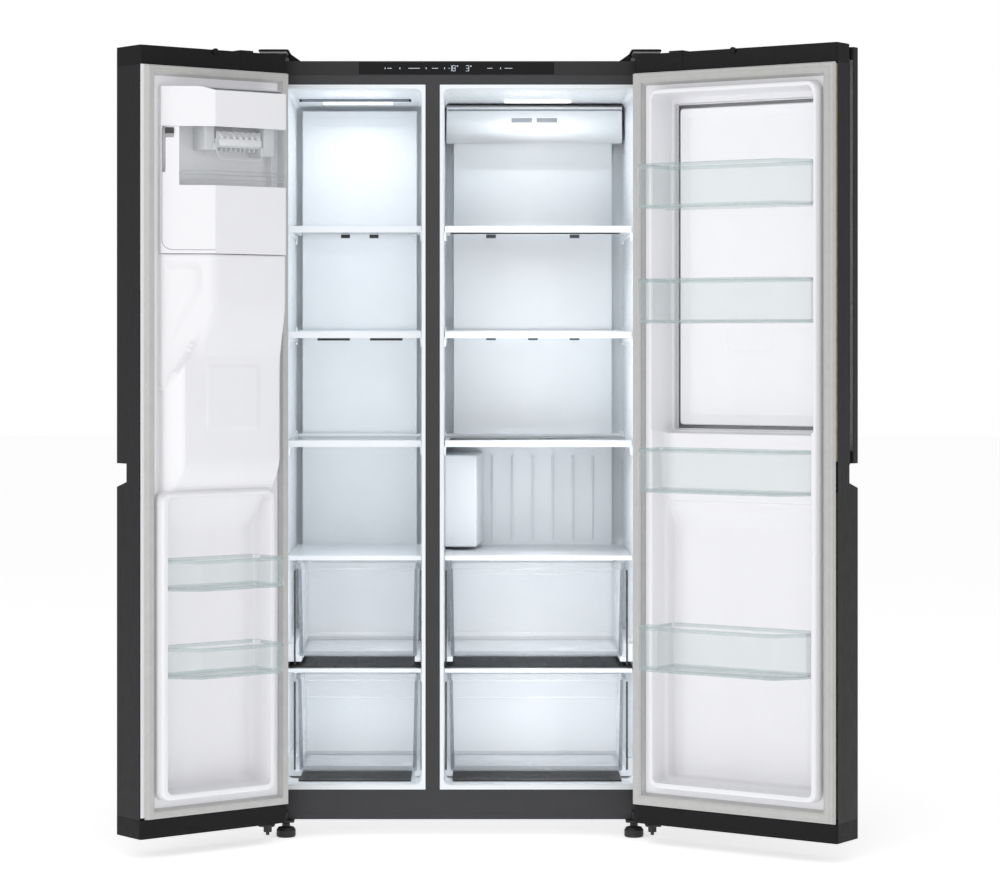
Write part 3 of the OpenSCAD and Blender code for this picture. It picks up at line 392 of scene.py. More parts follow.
def grid(low, high, step, marks=(), near=1.2, reach=9):
    """Grid lines from low to high, closer together near the marks."""
    lines = set(np.linspace(low, high, int((high - low) / step) + 1).round(3))
    for mark in marks:
        steps = range(int(-reach / near), int(reach / near) + 1)
        lines |= {round(mark + near * k, 3) for k in steps}
    ordered = []
    for v in sorted(v for v in lines if low <= v <= high):
        if not ordered or v - ordered[-1] > 0.45:
            ordered.append(v)
    ordered[-1] = high
    return np.array(ordered)


def inside(x, z, xs, zs, r):
    """How far a point is inside a rounded rectangle's edge."""
    qx = np.abs(x - (xs[0] + xs[1]) / 2) - ((xs[1] - xs[0]) / 2 - r)
    qz = np.abs(z - (zs[0] + zs[1]) / 2) - ((zs[1] - zs[0]) / 2 - r)
    corner = np.hypot(np.maximum(qx, 0), np.maximum(qz, 0))
    return r - corner - np.minimum(np.maximum(qx, qz), 0)


def fillet(d, r):
    """0 deep inside an edge, growing to r at the edge along a quarter circle."""
    return r - np.sqrt(np.maximum(r * r - (r - np.clip(d, 0, r)) ** 2, 0))


def raised(d, base, top, r, draft=2.0):
    """A pressed boss: base outside, a steep side, and a rounded edge up to top inside."""
    side = base + (top - r - base) * np.clip(1 + d / draft, 0, 1)
    return np.where(d >= 0, top - fillet(d, r), side)


def sunk(d, top, bottom, r, draft=2.5):
    """A pressed recess: top outside, a steep side, and a filleted floor at bottom inside."""
    return np.where(d < -draft, top + 25 * (-draft - d),
                    top - (top - bottom - r) * np.clip(1 + d / draft, 0, 1)
                    - (r - fillet(np.clip(d, 0, r), r)))


def soft_min(a, b, k):
    h = np.clip(0.5 + 0.5 * (b - a) / k, 0, 1)
    return b * (1 - h) + a * h - k * h * (1 - h)


def soft_max(a, b, k):
    return -soft_min(-a, -b, k)


def inside_polygon(x, z, points):
    """How far a point is inside a convex outline."""
    middle = np.mean(points, axis=0)
    result = np.full(x.shape, 1e9)
    for a, b in zip(points, points[1:] + points[:1]):
        nx, nz = b[1] - a[1], a[0] - b[0]
        length = math.hypot(nx, nz)
        sign = 1 if nx * (middle[0] - a[0]) + nz * (middle[1] - a[1]) > 0 else -1
        result = np.minimum(result, sign * (nx * (x - a[0]) + nz * (z - a[1])) / length)
    return result


def dress(node, slot, soft=0.8, steps=2, angle=32):
    """Gives a CAD node its finish, and rounds its sharp edges with modifiers."""
    made = nodes[node]
    mesh = made.data
    if "custom_normal" in mesh.attributes:
        mesh.attributes.remove(mesh.attributes["custom_normal"])
    mesh.shade_smooth()
    mesh.materials.clear()
    mesh.materials.append(FINISH[slot])
    weld = made.modifiers.new("weld", "WELD")
    weld.merge_threshold = 0.00001
    if soft:
        flat = made.modifiers.new("flat", "DECIMATE")
        flat.decimate_type = "DISSOLVE"
        flat.angle_limit = math.radians(0.3)
        bevel = made.modifiers.new("edges", "BEVEL")
        bevel.width = soft * MM
        bevel.segments = steps
        bevel.limit_method = "ANGLE"
        bevel.angle_limit = math.radians(angle)
        bevel.use_clamp_overlap = True
        bevel.miter_outer = "MITER_ARC"
    normals = made.modifiers.new("normals", "WEIGHTED_NORMAL")
    normals.keep_sharp = True
    if slot in CLEAR:
        let_light_through(made)


# ---------------------------------------------------------------- CAD nodes shown as they are

dress("cabinet_shell", "case_paint", 0.6)
dress("back_panel", "rear_steel", 0.4)
dress("machine_cover", "rear_steel", 0.4)
dress("bottom_plate", "plate_steel", 0.5)
dress("front_frame", "frame_paint", 0.5)
dress("base_panel", "frame_paint", 0.5)
dress("top_trim", "trim_plastic", 0.7)
dress("display_panel", "display_face", 0.5)
dress("insulation_foam", "foam", 0)
dress("freezer_duct_panel", "duct_plastic", 1.6, 3)
dress("fridge_duct_panel", "duct_plastic", 0)
dress("water_tank", "tank_plastic", 5.0, 3)
dress("shelf_trims", "shelf_trim", 1.2, 3)
dress("shelf_glass", "shelf_glass", 0.8)
dress("freezer_drawer_shelves", "shelf_trim", 0.9)
dress("fridge_drawer_shelves", "shelf_trim", 0.9)
dress("drawer_rails", "rail_plastic", 0.8)
dress("top_hinge_brackets", "hinge_steel", 0.8)
dress("hinge_covers", "black_plastic", 2.0, 3)
dress("bottom_hinge_brackets", "hinge_paint", 0.8)
dress("levelling_feet", "foot_plastic", 0.8)
dress("rear_rollers", "roller_plastic", 0.8)
dress("compressor", "compressor_paint", 1.5, 3)
dress("condenser", "condenser_paint", 0.4)
dress("condenser_fan", "fan_plastic", 0.5)
dress("evaporator", "evaporator_metal", 0.2)
dress("evaporator_fan", "fan_plastic", 0.5)
dress("water_valve", "valve_plastic", 0.8)
dress("power_inlet_gland", "gland_rubber", 0.8)
for door in ("freezer", "fridge"):
    dress(door + "_door_panel", "door_paint", 0.8)
    dress(door + "_door_trims", "black_plastic", 1.2, 3)
dress("ice_maker_hood", "ice_white", 3.0, 3)
dress("ice_bin", "ice_white", 3.0, 3)
dress("ice_bin_latch", "latch_plastic", 0.8)
dress("dispenser_housing", "dispenser_plastic", 1.2, 3)
dress("dispenser_lever", "lever_plastic", 1.0, 3)
dress("drip_tray", "lever_plastic", 0.7)
dress("outer_door_panel", "door_paint", 1.0, 3)
dress("release_button", "latch_plastic", 1.0, 3)


# ---------------------------------------------------------------- cabinet's inner linings

FREEZER_ROOM_X = (-401, -88)
FRIDGE_ROOM_X = (-37, 401)
ROOM_Z = (117, 1708)
ROOM_R = 14
# The step over the machine compartment, and the bends at its foot, at its edge and at the back wall
STEP_Y = 390
STEP_Z = 330
FOOT_BEND = 16
EDGE_BEND = 8
BACK_BEND = 18
# How far the back wall's face stands in front of the liner's own back
BACK_IN = 2.5
# Tops of the shelves, and the faces of the ducts and of the fridge duct's box
SHELF_Z = (1398, 1152, 899)
DUCT_Y = 505
DUCT_TOP_Y = 430
# Angles of the rings round a quarter bend
QUARTER = (0.4, 0.8, 1.2, math.pi / 2)


def cabinet_room(name, node, x):
    """A pressed liner: its flange, walls, the step over the machine compartment and the back."""
    flange_x, y, flange_z = box_mm(node)
    back = y[1] - BACK_IN
    form = Form()

    def level(by, depth, r, floor=ROOM_Z[0]):
        outline = rounded(rect(grown(x, by), (floor - by, ROOM_Z[1] + by)), r, 6)
        return [(px, depth, pz) for px, pz in outline]

    flange = rounded(rect(flange_x, flange_z), 1, 6)
    rings = [[(px, 1.5, pz) for px, pz in flange], [(px, 0, pz) for px, pz in flange],
             level(2.2, 0, 16), level(1.0, 0.4, 15), level(0.3, 1.1, 14.4), level(0, 2.5, ROOM_R)]
    rings += [level(0, d, ROOM_R) for d in (60, 180, 300, STEP_Y - FOOT_BEND)]
    rings += [level(0, STEP_Y - FOOT_BEND + FOOT_BEND * math.sin(t), ROOM_R,
                    ROOM_Z[0] + FOOT_BEND - FOOT_BEND * math.cos(t)) for t in QUARTER]
    rings += [level(0, STEP_Y + EDGE_BEND - EDGE_BEND * math.cos(t), ROOM_R,
                    STEP_Z - EDGE_BEND + EDGE_BEND * math.sin(t)) for t in (0, *QUARTER)]
    rings += [level(-BACK_BEND + BACK_BEND * math.cos(t),
                    back - BACK_BEND + BACK_BEND * math.sin(t), 16, STEP_Z)
              for t in (0, 0.3, 0.6, 0.9, 1.2, math.pi / 2)]
    n = len(rings[0])
    points = [p for ring in rings for p in ring]
    faces = [tuple(range(len(points) - n, len(points)))]
    for i in range(len(rings) - 1):
        faces += [(i * n + k, i * n + (k + 1) % n, (i + 1) * n + (k + 1) % n, (i + 1) * n + k)
                  for k in range(n)]
    made = form.add(points, faces)
    bmesh.ops.recalc_face_normals(form.bm, faces=made)
    bmesh.ops.reverse_faces(form.bm, faces=made)
    for shelf in SHELF_Z:
        for side, s in ((x[0], 1), (x[1], -1)):
            ledge = sorted((side - s * 1, side + s * 5))
            form.block(ledge, (140, 480), (shelf - 22, shelf - 9), 1.8, 3)
            stop = sorted((side - s * 1, side + s * 4))
            form.block(stop, (484, 496), (shelf - 30, shelf + 14), 1.8, 3)
            form.block(stop, (126, 134), (shelf - 34, shelf - 9), 1.8, 3)
    form.piece(name, "cabinet", "cabinet_liner", stands_for=(node,), sharp=50)


cabinet_room("freezer_room", "freezer_liner", FREEZER_ROOM_X)
cabinet_room("fridge_room", "fridge_liner", FRIDGE_ROOM_X)


# ---------------------------------------------------------------- door linings

freezer_skin = box_mm("freezer_door_liner", FREEZER)
fridge_skin = box_mm("fridge_door_liner", FRIDGE)
FLANGE = box_mm("freezer_door_gasket", FREEZER)[1][0]
FREEZER_TUB = ((-386, -113), (142, 790))
FREEZER_TUB_Y = -45
FREEZER_RIM = (-399, -100)
FREEZER_RIM_Y = 20
# The ice and dispenser housing. Its tall upper part and its lower part each have a front, a fold
# where the slanted side starts, and a fall down that side. A crease runs between the two parts.
HOUSING_X = (-399, -111)
HOUSING_TOP = 1321
BULGE_Y = 60
BULGE_FALL = 65
FOLD_X = -210.6
LOW_Y = 38.5
LOW_FALL = 50.5
LOW_FOLD_X = -143.5
CREASE_Z = (1021, 1234)
# The neck where the upper part comes forward, and the foot where the lower part leaves the lining
NECK_Z = 1090
NECK_SLOPE = 0.1955
FOOT_Z = 780
FOOT_SLOPE = 0.636
# Slope of the steps between the two parts, and the depth from which they rise
STEEP = 6
BEHIND = -40


def slant(x):
    """Depth of the tall part's slanted side, and of the ice window over it."""
    return BULGE_Y - (x - FOLD_X) * BULGE_FALL / (HOUSING_X[1] - FOLD_X)


def housing(x, z):
    """The housing's face: a tall upper part with a slanted side, and a lower part that meets it
    along a diagonal crease."""
    lean = slant(x)
    front = soft_min(np.full(x.shape, float(BULGE_Y)), lean, 9)
    upper = soft_min(front, LOW_Y + (z - NECK_Z) * NECK_SLOPE, 5)
    neck = np.minimum(upper, soft_min(lean, np.full(x.shape, LOW_Y), 7))
    upper = np.where(z < NECK_Z + 10, neck, upper)
    low_lean = LOW_Y - (x - LOW_FOLD_X) * LOW_FALL / (HOUSING_X[1] - LOW_FOLD_X)
    lower = soft_min(np.full(x.shape, LOW_Y), low_lean, 7)
    lower = soft_min(lower, -6 + (z - FOOT_Z) * FOOT_SLOPE, 16)
    rise = CREASE_Z[1] - CREASE_Z[0]
    below = (CREASE_Z[0] + (HOUSING_X[1] - x) * rise / (HOUSING_X[1] - FOLD_X)) - z
    below = np.minimum(below, CREASE_Z[1] - z)
    lower = soft_min(lower, BEHIND + below * STEEP, 5)
    upper = soft_min(upper, (z - CREASE_Z[0]) * STEEP + BEHIND, 5)
    return soft_max(upper, lower, 6)


# An outline raised in two steps on the slanted side, and a raised pane on the lower part
EMBOSS = [(-123.7, 1291), (-171, 1291), (-174.4, 1285), (-174.4, 1245), (-127.3, 1144)]
PANE = ((-339, -202.5), (936, 1076))


def freezer_lining(x, z):
    rim = raised(inside(x, z, FREEZER_RIM, (129, 800), 22), FLANGE, FREEZER_RIM_Y, 6)
    tub = sunk(inside(x, z, *FREEZER_TUB, 16) - 2.5, FREEZER_RIM_Y, FREEZER_TUB_Y, 16)
    y = soft_min(rim, tub, 4)
    block = inside(x, z, HOUSING_X, (600, HOUSING_TOP), 5)
    face = housing(x, z)
    for by in (8, 0):
        face = face + 1.6 * np.clip((inside_polygon(x, z, EMBOSS) + by) / 2.4 + 0.5, 0, 1)
    pane = inside(x, z, *PANE, 6)
    face = face + 1.4 * np.clip(pane / 2.0 + 0.5, 0, 1)
    tall = raised(block, FLANGE, face, 6, 2.0)
    return np.where(block > -2.0, soft_max(tall, np.where(z < 800, y, FLANGE), 7), y)


xs = grid(freezer_skin[0][0], freezer_skin[0][1], 4,
          (-399, -386, -113, -106, -100, FOLD_X, LOW_FOLD_X), 1.3, 8)
zs = grid(freezer_skin[2][0], freezer_skin[2][1], 5, (129, *FREEZER_TUB[1], HOUSING_TOP), 1.3, 9)
form = Form()
form.sheet(xs, zs, freezer_lining)
form.piece("freezer_door_lining", "freezer_door", "door_liner", FREEZER,
           ("freezer_door_liner",), 60)

# The fridge door lining's tub, its rim, the deeper tubs above and below, and how deep each face is
FRIDGE_TUB = ((-13.5, 386.5), (145, 1682))
FRIDGE_RIM = ((-24.5, 397.5), (133, 1694))
FRIDGE_RIM_Y = 17
SHELF_FACE = -30
UPPER_FACE = -66
UPPER_Z = (925, 1682)
LOW_TUB = ((-2, 375), (152, 778))
LOW_TUB_Y = -60
# The slope from the lower tub's back up to the shelf between the tubs
LOW_SLOPE_Z = 712
LOW_SLOPE = 0.53
# The way through to the outer door
WAY = ((-19.5, 378.5), (931, 1666))
WAY_BACK = -75


def fridge_lining(x, z):
    rim = raised(inside(x, z, *FRIDGE_RIM, 22), FLANGE, FRIDGE_RIM_Y, 5)
    tub = sunk(inside(x, z, *FRIDGE_TUB, 14) - 2.5, FRIDGE_RIM_Y, SHELF_FACE, 10)
    y = soft_min(rim, tub, 4)
    slope = np.maximum(LOW_TUB_Y, LOW_TUB_Y + (z - LOW_SLOPE_Z) * LOW_SLOPE)
    slope = soft_max(slope, np.full(x.shape, float(LOW_TUB_Y)), 8)
    low = inside(x, z, *LOW_TUB, 14) - 2.5
    low_tub = sunk(low, SHELF_FACE, np.minimum(slope, SHELF_FACE - 8), 8)
    y = np.where(low > -6, soft_min(y, low_tub, 4), y)
    up = inside(x, z, FRIDGE_TUB[0], UPPER_Z, 14) - 2.5
    y = np.where(up > -6, soft_min(y, sunk(up, SHELF_FACE, UPPER_FACE, 5), 4), y)
    way = inside(x, z, *WAY, 8)
    return np.where(way > -6, np.minimum(y, np.where(way > 0, WAY_BACK - 4.0, y)), y)


xs = grid(fridge_skin[0][0], fridge_skin[0][1], 4,
          (*FRIDGE_RIM[0], *FRIDGE_TUB[0], *LOW_TUB[0], WAY[0][1]), 1.2, 8)
zs = grid(fridge_skin[2][0], fridge_skin[2][1], 5,
          (*FRIDGE_RIM[1], *FRIDGE_TUB[1], *LOW_TUB[1], UPPER_Z[0], *WAY[1]), 1.2, 8)
form = Form()
form.sheet(xs, zs, fridge_lining, lambda x, z: inside(x, z, *WAY, 8) > 4)
form.piece("fridge_door_lining", "fridge_door", "door_liner", FRIDGE, ("fridge_door_liner",), 60)

# The outer door's inner panel: a plug that fills the way, its bevelled face, and a tab's outline
outer_skin = box_mm("outer_door_liner", FRIDGE)
PLUG = (grown(WAY[0], -12), grown(WAY[1], -12))
PLUG_BEVEL = 24
TAB = ((130, 245), (1108, 1188))


def outer_lining(x, z):
    d = inside(x, z, *PLUG, 8)
    face = -70 - 6 * np.clip((d - 4) / 20, 0, 1)
    face = face + 0.5 * np.clip(1.5 - np.abs(inside(x, z, *TAB, 12)) / 1.3, 0, 1)
    return raised(d, outer_skin[1][0] + 4.2, face, 3, 1.5)


xs = grid(outer_skin[0][0] + 1, outer_skin[0][1] - 1, 5,
          (*PLUG[0], *TAB[0], *grown(PLUG[0], -PLUG_BEVEL)), 1.3, 6)
zs = grid(outer_skin[2][0], outer_skin[2][1], 6,
          (*PLUG[1], *TAB[1], *grown(PLUG[1], -PLUG_BEVEL)), 1.3, 6)
form = Form()
form.sheet(xs, zs, outer_lining)
form.block(grown(outer_skin[0], -1), (outer_skin[1][0], outer_skin[1][0] + 4), outer_skin[2],
           0.8)
form.piece("outer_door_lining", "outer_door", "outer_liner", FRIDGE, ("outer_door_liner",), 50)


# ---------------------------------------------------------------- foam inside the doors

def foam_core(name, node, body, place, blocks):
    form = Form()
    for x, y, z in blocks:
        form.block(x, y, z, 3)
    form.piece(name, body, "door_foam", place, (node,))


# The blocks leave out the grip channel between these heights, and the dispenser's mouth
GRIP_Z = (800, 870)

x, y, z = box_mm("freezer_door_foam", FREEZER)
front = y[0] + 1
mouth_x, _, mouth_z = box_mm("dispenser_housing", FREEZER)
foam_core("freezer_foam_core", "freezer_door_foam", "freezer_door", FREEZER, [
    (grown(x, -2), (front, -50), (z[0] + 2, GRIP_Z[0])),
    ((x[0] + 2, mouth_x[0] - 2), (front, -50), (GRIP_Z[1], mouth_z[1])),
    ((mouth_x[1] + 2, x[1] - 2), (front, -50), (GRIP_Z[1], mouth_z[1])),
    (grown(x, -2), (front, -22), (mouth_z[1] + 3, z[1] - 2))])
x, y, z = box_mm("fridge_door_foam", FRIDGE)
foam_core("fridge_foam_core", "fridge_door_foam", "fridge_door", FRIDGE, [
    (grown(x, -2), (y[0] + 1, -66), (z[0] + 2, GRIP_Z[0])),
    ((x[0] + 2, -26), (-72, -20), (GRIP_Z[1], z[1] - 2)),
    ((400, x[1] - 2), (-72, -20), (GRIP_Z[1], z[1] - 2))])


# ---------------------------------------------------------------- gaskets

GASKET_FALL = 2.4


def door_gasket(node, name, body, place, width, pin_x):
    """A soft seal: a foot in the lining's groove, a bellows and a magnet face with fine ribs. Past
    the hinge's pin the face falls back, to clear the frame as the door turns."""
    x, (lo, hi), z = box_mm(node, place)
    w = width
    profile = [(0.3, lo), (0, lo + 3), (0.6, lo + 6.5), (1.4, lo + 9), (1.0, lo + 11.5),
               (2.2, hi - 1.2), (4.5, hi - 0.2), (7, hi), (7.6, hi - 0.6), (8.2, hi),
               (w - 9, hi), (w - 8.4, hi - 0.6), (w - 7.8, hi), (w - 5.5, hi - 0.5),
               (w - 4.4, hi - 2.2), (w - 4.8, hi - 4.6), (w - 3.0, hi - 7), (w - 0.9, hi - 9.4),
               (w - 0.2, lo + 2.6), (w, lo)]
    slope = GASKET_FALL / (max(abs(x[0]), abs(x[1])) - abs(pin_x))
    form = Form()
    form.ring(x, z, profile, lambda px: hi - max(0, (abs(px) - abs(pin_x))) * slope
              if px * pin_x > 0 else hi)
    form.piece(name, body, "gasket_grey", place, (node,), 28)


pin = abs(joints["fridge_door_hinge"]["pos_m"][0]) / MM
door_gasket("freezer_door_gasket", "freezer_gasket", "freezer_door", FREEZER, 22, -pin)
door_gasket("fridge_door_gasket", "fridge_gasket", "fridge_door", FRIDGE, 28, pin)

x, y, z = box_mm("outer_door_gasket", FRIDGE)
form = Form()
form.ring(x, z, [(0, y[0]), (0.4, y[0] + 4), (1.4, y[0] + 7), (3, y[1] - 0.6), (5, y[1]),
                 (11, y[1]), (13, y[1] - 0.6), (14.4, y[0] + 7), (15.4, y[0] + 4), (16, y[0])])
form.piece("outer_gasket", "outer_door", "outer_gasket", FRIDGE, ("outer_door_gasket",), 28)


# ---------------------------------------------------------------- door bins

# The bins' front, their ends, the hinge end's reach over the raised rim, and each floor and rim
BIN_FRONT = 72
FREEZER_BIN_X = (-384, -115)
FREEZER_BIN_OVER = -388.5
FREEZER_BINS_Z = ((394, 462), (585, 653))
FRIDGE_BIN_X = (384.5, -11.5)
FRIDGE_BIN_OVER = 394
UPPER_BINS_Z = ((1170, 1269), (1425, 1524))
MIDDLE_BIN_Z = (795, 893)
LOWEST_BIN_Z = (398, 498)


def clear_bin(form, ends, over_rim, back, rim_y, z):
    """A clear tub from its hinge end to its free end, whose corner is cut off. It has a thick
    floor, a rolled rim and a step over the door's rim."""
    s = 1 if ends[0] > ends[1] else -1
    front = BIN_FRONT
    cut = (ends[1] + s * 48, front - 62)
    radius = [6, 0.8, 1.5, 9, 16, 10, 6]

    def level(by, height):
        moved = [(ends[0] - by * s, back + by), (ends[0] - by * s, rim_y + 2 + by),
                 (over_rim - by * s, rim_y + 2 + by), (over_rim - by * s, front - by),
                 (cut[0] + by * s * 0.5, front - by), (ends[1] + by * s, cut[1] - by * 0.5),
                 (ends[1] + by * s, back + by)]
        outline = rounded(moved, [max(0.5, r - by) for r in radius])
        return [(px, py, height) for px, py in outline]

    rings = [level(5, z[0]), level(1.8, z[0] + 0.8), level(0.9, z[0] + 3.5),
             level(0.6, z[0] + 24), level(0.45, z[0] + 25.2), level(0.3, z[1] - 9),
             level(0, z[1] - 8.2), level(0, z[1] - 0.8), level(0.6, z[1]), level(1.9, z[1]),
             level(2.4, z[1] - 0.8), level(2.7, z[0] + 30), level(3.2, z[0] + 8),
             level(5, z[0] + 4.2), level(8, z[0] + 3.4)]
    form.loft(rings, marked=(0, 1, 6, 7, 8, 9, 12, 13))


form = Form()
for z in FREEZER_BINS_Z:
    clear_bin(form, FREEZER_BIN_X, FREEZER_BIN_OVER, -41, FREEZER_RIM_Y, z)
form.piece("freezer_bins", "freezer_door", "bin_clear", FREEZER, ("freezer_door_bins",),
           edge="clear_edge")

form = Form()
for z in UPPER_BINS_Z:
    clear_bin(form, FRIDGE_BIN_X, FRIDGE_BIN_OVER, -62, FRIDGE_RIM_Y, z)
clear_bin(form, FRIDGE_BIN_X, FRIDGE_BIN_OVER, -26, FRIDGE_RIM_Y, MIDDLE_BIN_Z)
clear_bin(form, (373, 0), FRIDGE_BIN_OVER, -56, FRIDGE_RIM_Y, LOWEST_BIN_Z)
form.piece("fridge_bins", "fridge_door", "bin_clear", FRIDGE, ("fridge_door_bins",),
           edge="clear_edge")


# ---------------------------------------------------------------- drawers

def clear_drawer(drawer, lines):
    """A clear drawer: sides that taper to its floor, a rolled rim, and lines across its front."""
    x, y, z = box_mm(drawer)
    form = Form()

    def level(side, front, back, height, r):
        outline = rounded(rect((x[0] + side, x[1] - side), (y[0] + front, y[1] - back)), r, 4)
        return [(px, py, height) for px, py in outline]

    rings = [level(13, 8, 13, z[0], 6), level(8.5, 4, 9, z[0] + 1.2, 9),
             level(7, 3, 7, z[0] + 5, 9), level(4, 2, 4, z[1] - 16, 8),
             level(3.6, 2, 3.6, z[1] - 15, 8), level(0, 0, 0, z[1] - 14, 8),
             level(0, 0, 0, z[1] - 1.2, 8), level(1, 1, 1, z[1], 7), level(4.4, 4.4, 4.4, z[1], 5),
             level(5.2, 5.4, 5.2, z[1] - 1.2, 5), level(6.6, 6.4, 6.6, z[1] - 18, 6),
             level(9.4, 8, 9.4, z[0] + 12, 7), level(13, 11, 13, z[0] + 4.2, 9),
             level(18, 16, 18, z[0] + 3.2, 9)]
    form.loft(rings, (0, 1, 11, 12), (0, 1, 2, 3, 5, 6, 7, 8))
    for line_z in lines:
        form.block((x[0] + 12, x[1] - 12), (y[0] + 1.4, y[0] + 3.4), (line_z, line_z + 1.4), 0.4)
    form.piece(drawer + "_clear", drawer, "drawer_clear", stands_for=(drawer,), edge="dark_edge")


for drawer in ("freezer_drawer_upper", "crisper_upper"):
    clear_drawer(drawer, (453, 590))
for drawer in ("freezer_drawer_lower", "crisper_lower"):
    clear_drawer(drawer, (304, 343))


# Dark ribbed trays under the upper drawers, which are trays and also painted shadow under those
# drawers, and a dark sheet under the lower drawers and dark upright strips beside the drawers'
# fronts, which are painted shadow in the gaps round the drawers
RIB_PITCH = 40
form = Form()
for room_x, shadow_sheet_x, upper in ((FREEZER_ROOM_X, (-372, -113), "freezer_drawer_upper"),
                               (FRIDGE_ROOM_X, (-17, 372), "crisper_upper")):
    x, y, z = box_mm(upper)
    rail_x = grown(room_x, -0.5)
    form.block(rail_x, (112, 480), (373, 375.5), 0.8)
    ribs = int((rail_x[1] - rail_x[0]) / RIB_PITCH)
    for rib in range(ribs):
        rib_x = rail_x[0] + (rib + 0.5) * (rail_x[1] - rail_x[0]) / ribs
        form.block((rib_x - 2, rib_x + 2), (114, 470), (375, 377.5), 0.8)
    # A dark sheet under each lower drawer: painted shadow in the gap beneath it
    form.block(shadow_sheet_x, (48, 370), (118, 121), 1)
    # Dark upright strips beside each drawer's front: painted shadow in the gaps between the drawers
    # and the walls
    for low, high in ((380, z[1] - 18), (136, 340)):
        for side_x in ((x[0] - 5.5, x[0] - 1.5), (x[1] + 1.5, x[1] + 5.5)):
            form.block(side_x, (106, 116), (low, high), 0.8)
# The whole piece is near black: painted shadow round the drawers, and the trays' own dark colour
form.piece("drawer_trays_and_painted_shadows", "cabinet", "latch_plastic")


# ---------------------------------------------------------------- ice maker and window

x, y, z = box_mm("ice_bin_window", FREEZER)
form = Form()
outer = [(x[0], y[0]), (x[0], y[1] - 3), (x[0] + 3, y[1]), (FOLD_X - 1.2, y[1]),
         (FOLD_X + 1.2, y[1] - 0.8), (x[1], y[1] - 42.8)]
inner = [(x[1], y[1] - 45.2), (FOLD_X + 0.4, y[1] - 3.4), (FOLD_X - 1.6, y[1] - 2.4),
         (x[0] + 4, y[1] - 2.4), (x[0] + 2.4, y[1] - 4), (x[0] + 2.4, y[0])]
form.prism(outer + inner, z[0], z[1], "z", 0.5)
form.piece("ice_window_clear", "ice_bin", "ice_window", FREEZER, ("ice_bin_window",))

# The ice maker: its tray between two end housings, the ejector's shaft, the tray's ribs, the wire
# that feels how full the bin is, and the wire's two mounts
MAKER_X = (-350, -225)
left, right = MAKER_X
x, y, z = box_mm("ice_maker", FREEZER)
form = Form()
form.prism(rounded([(left, y[0]), (left, 38), (right, 38), (right, y[0])], 3), 1556, 1576, "z", 1.5)
form.block((left - 28, left), (y[0], 44), (1540, 1640), 3, 3)
form.block((right, right + 25), (y[0], 36), (1550, 1620), 3, 3)
form.block((left + 4, right - 3), (32, 38), (1574, 1592), 1.2)
form.tube([(left - 2, 12, 1592), (right + 1, 12, 1592)], 5, 16)
for rib in range(10):
    rib_x = left + 6 + 12.4 * rib
    form.block((rib_x, rib_x + 3), (20, 36), (1548, 1558), 0.6)
form.tube([(left + 5, 40, 1546), (left + 5, 44, 1536), (left + 8, 46, 1531), (left + 14, 47, 1530),
           (right - 15, 47, 1530), (right - 9, 46, 1531), (right - 6, 43, 1537),
           (right + 3, 40, 1558)], 1.5, 8)
form.block((left - 2, left + 8), (34, 44), (1540, 1560), 1.5)
form.block((right - 2, right + 6), (32, 42), (1550, 1566), 1.5)
form.piece("ice_maker_parts", "freezer_door", "ice_maker_plastic", FREEZER, ("ice_maker",))
form = Form()
FINGER = [(8, 1592), (12, 1602), (40, 1589), (47, 1579), (45, 1575), (36, 1581)]
for finger in range(7):
    finger_x = left + 12 + 16 * finger
    form.prism(FINGER, finger_x, finger_x + 7, "x", 1.2)
form.block((left + 6, right - 7), (39, 42), (1560, 1576), 1)
form.piece("ice_maker_fingers", "freezer_door", "ice_maker_plastic", FREEZER, look="ice_white")
# Ribs across the window, and the seam down the slanted side to its rounded lower corner
x, y, z = box_mm("ice_bin_window", FREEZER)
SEAM_X = HOUSING_X[1] - 2
SEAM_Z = 1350
SEAM_R = 20
form = Form()
for rib_z in (1483, 1493, 1502):
    form.prism([(x[0] + 6, y[1] + 0.1), (FOLD_X, y[1] + 0.1), (x[1] - 6, y[1] - 40),
                (x[1] - 6, y[1] - 41.5), (FOLD_X, y[1] - 1.6), (x[0] + 6, y[1] - 1.6)],
               rib_z, rib_z + 1.4, "z", 0.3)
seam = [(SEAM_X, seam_z) for seam_z in (1596, 1400, SEAM_Z)]
seam += [(SEAM_X - SEAM_R * (1 - math.cos(t)), SEAM_Z - SEAM_R * math.sin(t)) for t in QUARTER]
seam += [(FOLD_X, SEAM_Z - SEAM_R)]
form.tube([(seam_x, slant(seam_x) - 0.2, seam_z) for seam_x, seam_z in seam], 0.9, 8)
form.piece("ice_window_ribs", "ice_bin", "ice_window", FREEZER, look="box_grey")


# ---------------------------------------------------------------- lamps, vents, display

LAMPS = (((-330, -162), (385, 401)), ((106, 266), (332, 352)))
LAMP_RIBS = 12
BAR_X = (-377, -122)
BAR_Y = (296, 306)

x, y, z = box_mm("lamp_lenses")
form = Form()
low = z[1] - 5
for lamp_x, lamp_y in LAMPS:
    form.block(lamp_x, lamp_y, (low, z[1]), 2, 3)
    for k in range(LAMP_RIBS):
        rib_x = lamp_x[0] + 8 + (lamp_x[1] - lamp_x[0] - 16) * k / (LAMP_RIBS - 1)
        form.block((rib_x - 2, rib_x + 2), grown(lamp_y, -3), (low - 0.3, low + 1), 0.3)
form.piece("lamp_covers", "cabinet", "lamp_plastic", stands_for=("lamp_lenses",))
form = Form()
form.block(BAR_X, BAR_Y, z, 1.5, 3)
form.piece("freezer_ceiling_bar", "cabinet", "rail_plastic", look="bar_grey")
form = Form()
for end_x in ((BAR_X[0] - 6, BAR_X[0]), (BAR_X[1], BAR_X[1] + 6)):
    form.block(end_x, grown(BAR_Y, 1), (z[0] - 0.2, z[1]), 1)
form.piece("freezer_ceiling_bar_ends", "cabinet", "latch_plastic")

